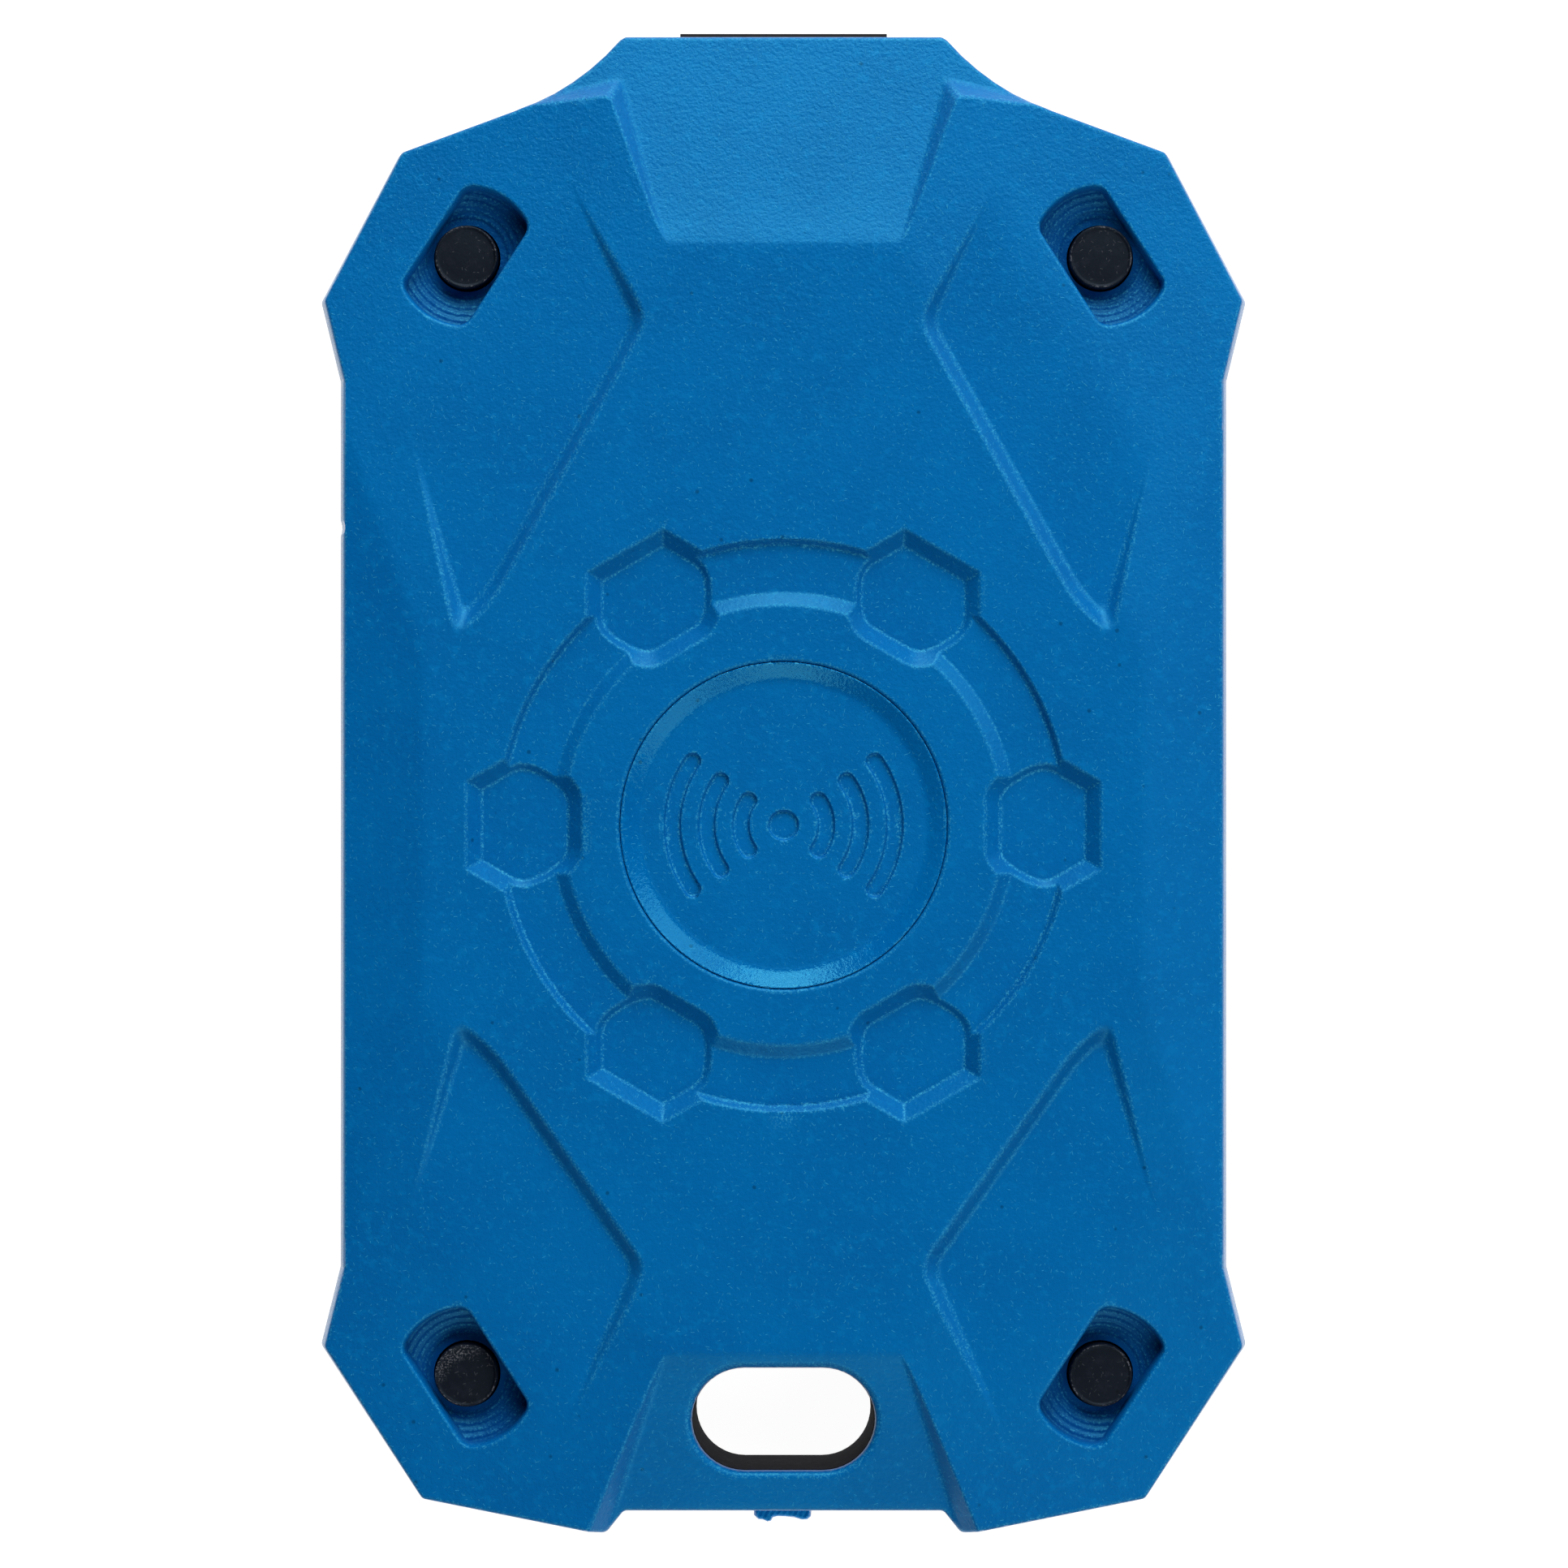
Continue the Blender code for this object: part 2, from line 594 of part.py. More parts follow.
def block(name, centre, size, material, lift=0.0):
    """A surface-mounted block: centre on the board, and its width, depth and height."""
    x, y = centre
    return box(name, (x - size[0] / 2, x + size[0] / 2), (y - size[1] / 2, y + size[1] / 2),
               (PART_Z + lift, PART_Z + lift + size[2]), material)


def board_parts():
    block("radio_module", (-19.3, 9.0), (10.4, 15.6, 0.6), BOARD)
    block("radio_can", (-19.3, 7.0), (9.2, 10.4, 1.5), TIN, lift=0.9)
    block("chip_antenna", (-17.0, 20.6), (6.6, 2.0, 1.2), CERAMIC)
    block("crystal", (16.5, 3.2), (3.2, 2.5, 0.8), TIN)
    block("accelerometer", (16.5, 9.0), (3.0, 3.0, 0.9), CHIP)
    block("memory_chip", (17.0, 15.2), (5.0, 4.0, 0.9), CHIP)
    block("charger_chip", (-5.4, 33.6), (4.0, 4.0, 0.9), CHIP)
    block("power_inductor", (4.6, 33.8), (4.2, 4.2, 2.0), CHIP)


def charging_port():
    shell = port_prism("usb_receptacle", 4.47, 1.58, (39.5, 46.8), TIN)
    cut(shell, port_prism("usb_mouth", 4.17, 1.28, (40.3, 49)))
    box("usb_tongue", (-3.3, 3.3), (40.6, 45.3), (3.25, 3.95), CHIP)


def press_switch():
    body = block("switch_body", (0, DIAL_Y), (6.0, 6.0, 1.5), CHIP)
    cut(body, cylinder("switch_bore", (0, DIAL_Y), 1.8, (4.0, 9)))
    cylinder("switch_plunger", (0, DIAL_Y), 1.5, (4.5, 5.6), IVORY)


def battery_pack():
    pouch = box("battery_pouch", (-BATTERY_X, BATTERY_X), BATTERY_Y, BATTERY_Z, FOIL)
    bevel = pouch.modifiers.new("soft_edges", "BEVEL")
    bevel.width = 0.8 * MM
    bevel.segments = 2
    box("battery_foam", (-19, 19), (-30.0, -17.0), (1.9, 2.3), FOAM)
    box("battery_protection_board", (21.3, 22.1), (-29.0, -18.0), (2.8, 6.3), BOARD)
    header = block("battery_header", (17.0, -10.2), (5.0, 2.8, 2.4), IVORY)
    cut(header, box("header_mouth", (15.2, 18.8), (-13, -9.6), (4.0, 5.4)))
    box("battery_plug", (15.1, 18.9), (-14.1, -11.9), (3.7, 5.7), IVORY)
    tube("battery_lead_positive", [(23.0, -19.4, 5.3), (23.3, -17.4, 5.3), (22.3, -15.5, 5.2),
                                   (20.6, -14.7, 5.1), (19.3, -13.9, 5.0)], 0.35, RED_WIRE)
    tube("battery_lead_negative", [(23.0, -21.4, 4.1), (23.4, -17.4, 4.1), (22.6, -15.1, 4.1),
                                   (20.9, -13.7, 4.1), (19.3, -12.9, 4.1)], 0.35, BLACK_WIRE)


def sounder():
    cylinder("piezo_plate", (0, PIEZO_Y), 10.0, (6.8, 7.1), BRASS, sides=48)
    cylinder("piezo_ceramic", (0, PIEZO_Y), 7.0, (6.2, 6.5), CERAMIC, sides=48)
    tube("piezo_lead_positive", [(5.5, 22.4, 5.6), (8.0, 20.9, 5.4), (10.0, 20.9, 4.6),
                                 (10.8, 21.5, 3.9)], 0.3, RED_WIRE)
    tube("piezo_lead_negative", [(9.2, 25.9, 6.2), (11.0, 24.9, 5.8), (12.0, 24.3, 4.7),
                                 (12.1, 24.1, 3.9)], 0.3, BLACK_WIRE)
    coil = [(13.6, 7.1), (17.0, 7.1), (17.0, 6.8), (13.6, 6.8)]
    turned("nfc_coil", coil, (0, DIAL_Y), COPPER_FILM, closed=True)


front_shell()
rear_shell()
retaining_pins()
press_pad()
port_plug()
case_gasket()
main_board()
board_parts()
charging_port()
press_switch()
battery_pack()
sounder()
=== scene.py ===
"""Looks of the rugged card-format tracker tag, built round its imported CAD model.

Lengths in the outlines and heights below are millimetres in the tag's own drawing frame:
x to the right, y towards the charging port, z out of the front. to_world() gives metres.
"""
import json
import math

import bmesh
import bpy
import numpy as np
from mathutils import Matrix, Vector
from mathutils.geometry import delaunay_2d_cdt


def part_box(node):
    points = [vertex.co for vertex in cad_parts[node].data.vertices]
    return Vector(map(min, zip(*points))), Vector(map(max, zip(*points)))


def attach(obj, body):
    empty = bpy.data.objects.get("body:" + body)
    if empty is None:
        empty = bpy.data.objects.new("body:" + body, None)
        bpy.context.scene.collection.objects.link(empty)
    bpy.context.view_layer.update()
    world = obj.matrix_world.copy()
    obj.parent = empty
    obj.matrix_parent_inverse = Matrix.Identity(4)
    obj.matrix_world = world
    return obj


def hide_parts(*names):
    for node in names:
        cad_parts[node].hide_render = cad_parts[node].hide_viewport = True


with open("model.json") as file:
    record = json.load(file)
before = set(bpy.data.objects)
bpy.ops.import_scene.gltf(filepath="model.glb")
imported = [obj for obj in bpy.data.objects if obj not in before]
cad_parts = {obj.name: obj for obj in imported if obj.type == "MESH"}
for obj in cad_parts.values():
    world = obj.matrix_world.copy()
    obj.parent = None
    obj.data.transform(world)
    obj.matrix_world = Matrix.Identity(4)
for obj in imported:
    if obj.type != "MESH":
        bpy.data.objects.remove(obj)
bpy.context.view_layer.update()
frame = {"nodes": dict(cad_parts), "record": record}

MM = 0.001

# ---------------------------------------------------------------- dimensions shared with the CAD
PLATEAU = 9.6
BODY_X, CORNER_X = 28.7, 30.0
TOP_Y, TOP_HALF = 48.4, 10.35
FOOT_Y, FOOT_HALF = -46.9, 10.45
LEG_Y = -48.35
BEVEL_X, BEVEL_SLOPE, BEVEL_TOP_Y, BEVEL_LOW_Y = 23.15, 0.29, 8.7, -14.0
CORNER_SLOPE, LOW_CORNER_SLOPE = 0.127, 0.11
TOP_FACET, LOW_FACET = (0.858, 0.513), (0.822, -0.5695)   # the ways they fall
RAMP_SLOPE, RAMP_TOP_Y, RAMP_LOW_Y = 0.191, 34.8, -36.5
PAD_STEP = 0.8
DIAL_Y = -2.6
RING_DEPTH, RING_OUTER, RING_INNER = 0.55, 18.4, 14.1
POD_DEPTH, POD_RADIUS = 0.95, 16.65
PAD_HOLE_R = 10.51
PIN_X, PIN_TOP_Y, PIN_LOW_Y = 20.5, 34.1, -38.15
POCKET_R, POCKET_FLAT, POCKET_FLOOR = 4.5, 2.5, 6.1
POCKET_ANGLE = math.radians(57.0)
POCKET_ROUND = 0.95
SLOT_Y, SLOT_HALF, SLOT_R = -40.9, 5.9, 3.4
NECK_X, NECK_Y, CAVITY_TOP_Y = 8.8, 36.0, 44.2
HALL_TOP, NECK_TOP = 7.4, 6.3    # roofs of the cavity in the front shell
PORT_Z, PORT_HALF, PORT_R = 3.6, 4.8, 1.9
RIB_TOP, POST_TOP = 3.3, 2.1
POST_R, BORE_R, BORE_LOW = 2.3, 1.1, 0.8
SCREWS = [(sx * 22.8, y) for y in (-10.3, 19.5) for sx in (-1, 1)]

# ---------------------------------------------------------------- dimensions of the looks alone
EDGE_FILLET = 0.2        # round along the front edge of the case
BACK_FILLET = 0.8        # and along its back edge
SLOT_ROUND, HOLE_ROUND, POCKET_RIM = 0.5, 0.24, 0.22
SKIRT_INSET, SKIRT = 0.32, 1.7   # the tops of the side walls lean in by the first over the second
FRONT_BASE = 4.13        # the shells' meeting faces, a thin shadow line apart
REAR_TOP = 3.97
PIN_HOLE_R = 2.16
HEAD_SEAT_R = 3.5
FLOOR = 1.6              # inside of the rear shell, and floors of the pin-head seats
COLLAR = 0.45            # the rear shell's collar stands in the slot, under the front's lip
LIP = 0.35
COLLAR_GAP, LIP_GAP = 0.1, 0.08
SLOT_DRAFT, COLLAR_IN = 0.18, 0.04   # the slot in the rear shell is smaller by these
SEAM_BEVEL = 0.1         # on the outer edges of the meeting faces
EDGE_SPACING = 0.4       # between the points along the case's outline
DIAL_SIDES = 168         # of the press pad's circles and of its hole
GATE_Z = 5.1

BUTTON_LOW, BUTTON_HIGH = [Vector(c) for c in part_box("button_cap")]
SHIFT_Y = (BUTTON_LOW.y + BUTTON_HIGH.y) / 2 / MM - DIAL_Y


def to_world(x, y, z):
    return (x * MM, (y + SHIFT_Y) * MM, z * MM)


# ---------------------------------------------------------------- smooth relief functions
def smin(a, b, k):
    """Smooth minimum: the two surfaces meet in a round of about k."""
    h = np.clip(0.5 + 0.5 * (b - a) / k, 0, 1)
    return b * (1 - h) + a * h - k * h * (1 - h)


def smax(a, b, k):
    return -smin(-a, -b, k)


def beyond(x, y, start, end):
    """Distance to the right of the line from start to end."""
    dx, dy = end[0] - start[0], end[1] - start[1]
    size = math.hypot(dx, dy)
    return ((x - start[0]) * dy - (y - start[1]) * dx) / size


def outside_convex(x, y, corners, k):
    """Distance outside a convex outline, listed anticlockwise, with its corners rounded by k."""
    distance = beyond(x, y, corners[-1], corners[0])
    for start, end in zip(corners, corners[1:]):
        distance = smax(distance, beyond(x, y, start, end), k)
    return distance


def polygon_distance(x, y, *outlines):
    """Distance to the nearest side of one or more closed outlines."""
    best = np.full(x.shape, 1e9)
    for outline in outlines:
        points = np.asarray(outline)
        for (ax, ay), (bx, by) in zip(points, np.roll(points, -1, axis=0)):
            dx, dy = bx - ax, by - ay
            t = np.clip(((x - ax) * dx + (y - ay) * dy) / (dx * dx + dy * dy), 0, 1)
            best = np.minimum(best, np.hypot(x - ax - t * dx, y - ay - t * dy))
    return best


def stadium_distance(x, y, centre, half, radius):
    """Distance outside a shape with straight sides and round ends."""
    along = np.maximum(np.abs(x - centre[0]) - (half - radius), 0)
    return np.hypot(along, y - centre[1]) - radius


def round_drop(distance, radius):
    """How far a quarter-round edge has fallen at a distance in from the edge."""
    u = np.clip(radius - distance, 0, radius)
    return radius - np.sqrt(radius * radius - u * u)


# ---------------------------------------------------------------- outlines
def arc(centre, radius, start, end, steps):
    angles = [math.radians(start + (end - start) * i / steps) for i in range(steps + 1)]
    return [(centre[0] + radius * math.cos(a), centre[1] + radius * math.sin(a)) for a in angles]


def circle(centre, radius, steps):
    return arc(centre, radius, 0, 360, steps)[:-1]


def mirrored(right_half):
    return right_half + [(-x, y) for x, y in reversed(right_half)]


def rounded(outline, radius, steps=4):
    """The outline with each sharp corner replaced by a short curve."""
    made = []
    count = len(outline)
    for i in range(count):
        before, here, after = (Vector(outline[(i + j) % count]) for j in (-1, 0, 1))
        back, ahead = before - here, after - here
        turn = math.pi - back.angle(ahead)
        if turn < math.radians(9):
            made.append(tuple(here))
            continue
        reach = min(radius * math.tan(turn / 2), back.length * 0.45, ahead.length * 0.45)
        a, b = here + back.normalized() * reach, here + ahead.normalized() * reach
        for j in range(steps + 1):
            t = j / steps
            made.append(tuple(a * (1 - t) ** 2 + here * 2 * t * (1 - t) + b * t * t))
    return made


def dense(outline, spacing):
    """The same closed outline with extra points along its long sides."""
    made = []
    for a, b in zip(outline, outline[1:] + outline[:1]):
        count = max(1, round(math.dist(a, b) / spacing))
        made += [(a[0] + (b[0] - a[0]) * i / count, a[1] + (b[1] - a[1]) * i / count)
                 for i in range(count)]
    return made


def moved_in(loop, amount):
    """Each point of an anticlockwise loop moved inwards."""
    made = []
    for before, here, after in zip(loop[-1:] + loop[:-1], loop, loop[1:] + loop[:1]):
        dx, dy = after[0] - before[0], after[1] - before[1]
        size = math.hypot(dx, dy)
        made.append((here[0] - dy / size * amount, here[1] + dx / size * amount))
    return made


def case_outline():
    shoulder = arc((23.07, 58.8), 16.3, 250, 220.6, 6)
    right = [(FOOT_HALF, FOOT_Y), (11.6, LEG_Y), (23.6, -46.1), (CORNER_X, -36.3),
             (BODY_X, -31.2), (BODY_X, 26.1), (CORNER_X, 31.3), (24.95, 40.85)]
    return mirrored(right + shoulder + [(TOP_HALF, TOP_Y)])


def cavity_outline(grow=0.0):
    diagonal, steep = grow * 0.414, grow * 0.6
    return mirrored([
        (21.5 + diagonal, -31.8 - grow), (25.6 + grow, -27.7 - diagonal),
        (25.6 + grow, 23.8 + steep), (12.6 + diagonal, 31.6 + grow * 0.9),
        (NECK_X + grow, 35.5 + diagonal), (NECK_X + grow, CAVITY_TOP_Y + grow)])


def stadium(centre, half, radius, steps):
    x, y = centre
    straight = half - radius
    return (arc((x + straight, y), radius, -90, 90, steps)
            + arc((x - straight, y), radius, 90, 270, steps))


def slot_outline(grow=0.0):
    return stadium((0, SLOT_Y), SLOT_HALF + grow, SLOT_R + grow, 22)


CORNERS = [(sx, sy) for sy in (1, -1) for sx in (-1, 1)]
PINS = [(sx * PIN_X, PIN_TOP_Y if sy > 0 else PIN_LOW_Y) for sx, sy in CORNERS]


def pocket_outline(corner, centre):
    """A circle with two flats, turned, its four corners rounded."""
    r = POCKET_ROUND
    reach = math.degrees(math.asin((POCKET_FLAT - r) / (POCKET_R - r)))
    x, y = math.cos(math.radians(reach)) * (POCKET_R - r), POCKET_FLAT - r
    plain = []
    for end in (0, 180):
        sign = 1 if end == 0 else -1
        plain += arc((0, 0), POCKET_R, end - reach, end + reach, 10)
        plain += arc((sign * x, sign * y), r, end + reach, end + 90, 6)[1:]
        plain += arc((-sign * x, sign * y), r, end + 90, end + 180 - reach, 6)[:-1]
    turn = POCKET_ANGLE if corner[0] * corner[1] < 0 else math.pi - POCKET_ANGLE
    c, s = math.cos(turn), math.sin(turn)
    return [(centre[0] + x * c - y * s, centre[1] + x * s + y * c) for x, y in plain]


def narrowed(outline):
    """The outline at the top of the leaning side walls."""
    return [(x * (1 - SKIRT_INSET / BODY_X), y) for x, y in outline]


CASE = rounded(case_outline(), 0.5)
BROW = narrowed(CASE)
POCKETS = [pocket_outline(corner, centre) for corner, centre in zip(CORNERS, PINS)]


# ---------------------------------------------------------------- front face
def pads_height(x, y):
    """Floors and walls of the four arrowhead pads."""
    right, up = np.abs(x), y
    upper = [(9.6, 29.8), (17.4, 46.9), (29.5, 41.0), (20.6, 11.0), (19.5, 11.8)]
    lower = [(19.5, -17.0), (20.5, -16.4), (29.0, -43.0), (16.3, -47.0), (9.7, -31.0)]
    lean = 0.95
    floor = PLATEAU - PAD_STEP
    made = None
    for outline in (upper, lower):
        area = sum(a[0] * b[1] - b[0] * a[1] for a, b in zip(outline, outline[1:] + outline[:1]))
        corners = outline if area > 0 else outline[::-1]
        distance = outside_convex(right, up, corners, 0.9)
        height = smax(np.full(x.shape, floor), floor + distance / lean, 0.22)
        made = height if made is None else np.minimum(made, height)
    return made


def ramp_height(x, y):
    """Both end ramps with their side walls, and the low ledges beside the top one."""
    right = np.abs(x)
    made = np.full(x.shape, 99.0)
    for sign, start, end in ((1, (7.6, RAMP_TOP_Y), (10.6, 46.0)),
                             (-1, (7.6, RAMP_LOW_Y), (10.9, -46.9))):
        run = sign * (y - start[1])
        dip = 0.26 * (1 - np.exp(-np.maximum(run, 0) / 2.2))
        floor = PLATEAU - RAMP_SLOPE * run - dip
        side = sign * beyond(right, y, start, end)
        if sign > 0:
            ledge = beyond(right, y, (9.0, 45.9), (15.5, 44.4))
            side = smin(side, ledge, 0.5)
        height = smax(floor, floor + side / 0.95, 0.25)
        made = np.minimum(made, np.where(sign * y > 20, height, 99.0))
    return made


def dial_height(x, y):
    """Ring channel and its six pods."""
    floor = PLATEAU - RING_DEPTH
    radius = np.hypot(x, y - DIAL_Y)
    outer_wall, inner_wall = 0.36, 0.85
    ring = smax(floor + (radius - RING_OUTER + outer_wall) * RING_DEPTH / outer_wall,
                floor + (RING_INNER + inner_wall - radius) * RING_DEPTH / inner_wall, 0.1)
    ring = smax(ring, np.full(x.shape, floor), 0.07)
    pod_floor = PLATEAU - POD_DEPTH
    hexagon = [(2.75, -2.25), (2.75, 2.25), (0, 3.85), (-2.75, 2.25), (-2.75, -2.25), (0, -3.85)]
    made = ring
    for i in range(6):
        c, s = math.cos(math.radians(60 * i)), math.sin(math.radians(60 * i))
        u = x * c + (y - DIAL_Y) * s - POD_RADIUS
        v = -x * s + (y - DIAL_Y) * c
        outside = outside_convex(u, v, hexagon, 0.1)
        outside = smax(outside, np.hypot(u - 0.35, v) - 3.55, 0.25)
        pod = smax(np.full(x.shape, pod_floor), pod_floor + outside / 1.05, 0.08)
        made = smin(made, pod, 0.06)
    return made


def front_height(x, y):
    """Height of the front face, with all its recesses and edge rounds."""
    right = np.abs(x)
    height = smin(np.full(x.shape, PLATEAU), PLATEAU - BEVEL_SLOPE * (right - BEVEL_X), 0.12)
    top = (right - BEVEL_X) * TOP_FACET[0] + (y - BEVEL_TOP_Y) * TOP_FACET[1]
    low = (right - BEVEL_X) * LOW_FACET[0] + (y - BEVEL_LOW_Y) * LOW_FACET[1]
    height = smin(height, PLATEAU - CORNER_SLOPE * top, 0.09)
    height = smin(height, PLATEAU - LOW_CORNER_SLOPE * low, 0.09)
    height = smin(height, pads_height(x, y), 0.2)
    height = smin(height, ramp_height(x, y), 0.07)
    height = smin(height, dial_height(x, y), 0.09)
    height = height - round_drop(polygon_distance(x, y, BROW), EDGE_FILLET)
    slot = stadium_distance(x, y, (0, SLOT_Y), SLOT_HALF, SLOT_R)
    height = height - round_drop(slot, SLOT_ROUND)
    height = height - round_drop(np.hypot(x, y - DIAL_Y) - PAD_HOLE_R, HOLE_ROUND)
    for outline in POCKETS:
        height = height - round_drop(polygon_distance(x, y, outline), POCKET_RIM)
    return height


# ---------------------------------------------------------------- turning a relief into a mesh
SLIVER = 2e-5            # triangles thinner than this only join points of a straight side
SLOT_SPACING = 0.41
EDGE_CELL = 0.41         # cells along the loops are no larger, so that no edge round is missed


class Skin:
    """Collects patches and strips of one closed mesh."""

    def __init__(self):
        self.points = []
        self.faces = []

    def patch(self, loops, height, coarse, fine, tolerance, up=True):
        """Triangulates the area inside the first loop and outside the others.

        Cells of the coarse size are halved down to the fine one where the relief bends by
        more than the tolerance; a coarse size of 0 adds no points inside. Returns, for each
        loop, the indices of its points.
        """
        edges, flat = [], []
        for loop in loops:
            base = len(flat)
            flat += list(loop)
            edges += [(base + i, base + (i + 1) % len(loop)) for i in range(len(loop))]
        border = len(flat)
        if coarse:
            extra = graded_points(loops, height, coarse, fine, tolerance)
            flat += [tuple(p) for p in extra]
        out = delaunay_2d_cdt([Vector(p) for p in flat], edges, [], 0, 1e-6)
        places, triangles, origins = np.array([tuple(p) for p in out[0]]), out[2], out[3]
        xs, ys = places[:, 0], places[:, 1]
        zs = height(xs, ys)
        base = len(self.points)
        self.points += [tuple(p) for p in zip(xs, ys, zs)]
        corners = places[np.array(triangles)]
        middle = corners.mean(axis=1)
        sides = np.roll(corners, -1, axis=1) - corners
        area = np.abs(sides[:, 0, 0] * sides[:, 1, 1] - sides[:, 0, 1] * sides[:, 1, 0])
        solid = area > SLIVER * np.linalg.norm(sides, axis=2).max(axis=1)
        solid &= in_loops(middle[:, 0], middle[:, 1], loops)
        for triangle, inside in zip(triangles, solid):
            if not inside:
                continue
            face = [base + i for i in triangle]
            self.faces.append(face if up else face[::-1])
        where = {}
        for index, sources in enumerate(origins):
            for source in sources:
                if source < border:
                    where[source] = base + index
        found, start = [], 0
        for loop in loops:
            found.append([where[start + i] for i in range(len(loop))])
            start += len(loop)
        return found

    def ring(self, loop, z):
        """A loop of points at a height, or at one height for each point."""
        heights = z if hasattr(z, "__len__") else [z] * len(loop)
        base = len(self.points)
        self.points += [(x, y, h) for (x, y), h in zip(loop, heights)]
        return list(range(base, base + len(loop)))

    def strip(self, upper, lower, out=True):
        """Joins two rings of the same length; out is for a wall that faces away from the loop."""
        count = len(upper)
        for i in range(count):
            j = (i + 1) % count
            face = [upper[i], lower[i], lower[j], upper[j]]
            self.faces.append(face if out else face[::-1])

    def mesh(self, name):
        made = bpy.data.meshes.new(name)
        made.from_pydata([to_world(*p) for p in self.points], [], self.faces)
        made.update()
        return made


def in_loops(x, y, loops):
    """True inside the first loop and outside the others."""
    inside = np.zeros(x.shape, dtype=bool)
    for loop in loops:
        points = np.asarray(loop)
        for (ax, ay), (bx, by) in zip(points, np.roll(points, -1, axis=0)):
            if ay == by:
                continue
            crosses = (ay > y) != (by > y)
            inside ^= crosses & (x < (bx - ax) * (y - ay) / (by - ay) + ax)
    return inside


def graded_points(loops, height, coarse, fine, tolerance):
    """Corners of square cells that are split until the relief is flat enough in each."""
    first = np.asarray(loops[0])
    low, high = first.min(axis=0), first.max(axis=0)
    xs = np.arange(low[0], high[0], coarse)
    ys = np.arange(low[1], high[1], coarse)
    gx, gy = np.meshgrid(xs, ys)
    cells = np.stack([gx.ravel(), gy.ravel()], axis=1)
    size, kept = coarse, []
    steps = np.array([(i, j) for j in (0, 0.5, 1) for i in (0, 0.5, 1)])
    while len(cells):
        x = cells[:, :1] + steps[:, 0] * size
        y = cells[:, 1:] + steps[:, 1] * size
        h = height(x, y)
        level = np.stack([h[:, 0], h[:, 2], h[:, 6], h[:, 8]], axis=1)
        guess = np.stack([level @ np.array([(1 - i) * (1 - j), i * (1 - j), (1 - i) * j, i * j])
                          for i, j in steps], axis=1)
        rough = np.abs(h - guess).max(axis=1) > tolerance
        if size > EDGE_CELL:
            rough |= polygon_distance(x[:, 4], y[:, 4], *loops) < size * 0.75 + 0.2
        done = ~rough if size > fine * 1.01 else np.ones(len(cells), dtype=bool)
        corners = cells[done][:, None, :] + np.array([(0, 0), (1, 0), (0, 1), (1, 1)]) * size
        kept.append(corners.reshape(-1, 2))
        cells = cells[~done]
        size /= 2
        cells = (cells[:, None, :] + np.array([(0, 0), (1, 0), (0, 1), (1, 1)]) * size)
        cells = cells.reshape(-1, 2)
    points = np.concatenate(kept)
    points = np.unique(np.round(points / (fine / 8)).astype(np.int64), axis=0) * (fine / 8)
    points = points[in_loops(points[:, 0], points[:, 1], loops)]
    gap = polygon_distance(points[:, 0], points[:, 1], *loops)
    return points[gap > fine * 0.45]


def placed(name, data):
    """A new object in the scene."""
    made = bpy.data.objects.new(name, data)
    bpy.context.scene.collection.objects.link(made)
    return made


def add_piece(name, mesh, material, body, slot, *nodes, sharp=40.0):
    """Puts a finished mesh in the scene in place of its CAD nodes."""
    piece = placed(name, mesh)
    mesh.materials.clear()
    mesh.materials.append(material)
    mesh.shade_smooth()
    mesh.set_sharp_from_angle(angle=math.radians(sharp))
    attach(piece, body)
    if nodes:
        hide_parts(*nodes)
    return piece


def carve(block, cutters, operation="DIFFERENCE"):
    """Applies one Boolean per cutter and removes the cutters; returns the new mesh."""
    for cutter in cutters:
        step = block.modifiers.new("carve", "BOOLEAN")
        step.operation = operation
        step.object = cutter
    bpy.context.view_layer.update()
    mesh = bpy.data.meshes.new_from_object(
        block.evaluated_get(bpy.context.evaluated_depsgraph_get()))
    for used in [block] + cutters:
        bpy.data.objects.remove(used, do_unlink=True)
    return mesh


def level(z):
    return lambda x, y: np.full(x.shape, z)


def prism_mesh(name, outline, low, high):
    skin = Skin()
    top = skin.patch([outline], level(high), 0, 1, 1)[0]
    bottom = skin.patch([outline], level(low), 0, 1, 1, up=False)[0]
    skin.strip(top, bottom)
    return skin.mesh(name)


def port_cutter(name, half, radius, y_range):
    """A flat-oval bar along Y on the charging port's axis."""
    skin = Skin()
    shape = stadium((0, 0), half, radius, 14)
    rings = []
    for y in y_range:
        base = len(skin.points)
        skin.points += [(u, y, PORT_Z + v) for u, v in shape]
        rings.append(list(range(base, base + len(shape))))
    skin.strip(rings[0], rings[1], out=False)
    skin.faces.append(rings[0])
    skin.faces.append(rings[1][::-1])
    return placed(name, skin.mesh(name))


def box_cutter(name, x, y, z):
    outline = [(x[0], y[0]), (x[1], y[0]), (x[1], y[1]), (x[0], y[1])]
    return placed(name, prism_mesh(name, outline, *z))


# ---------------------------------------------------------------- materials
LIT_GATE = 50.0              # stands in the crease attribute for the torn gate, which is painted pale as painted light shining through its thin plastic
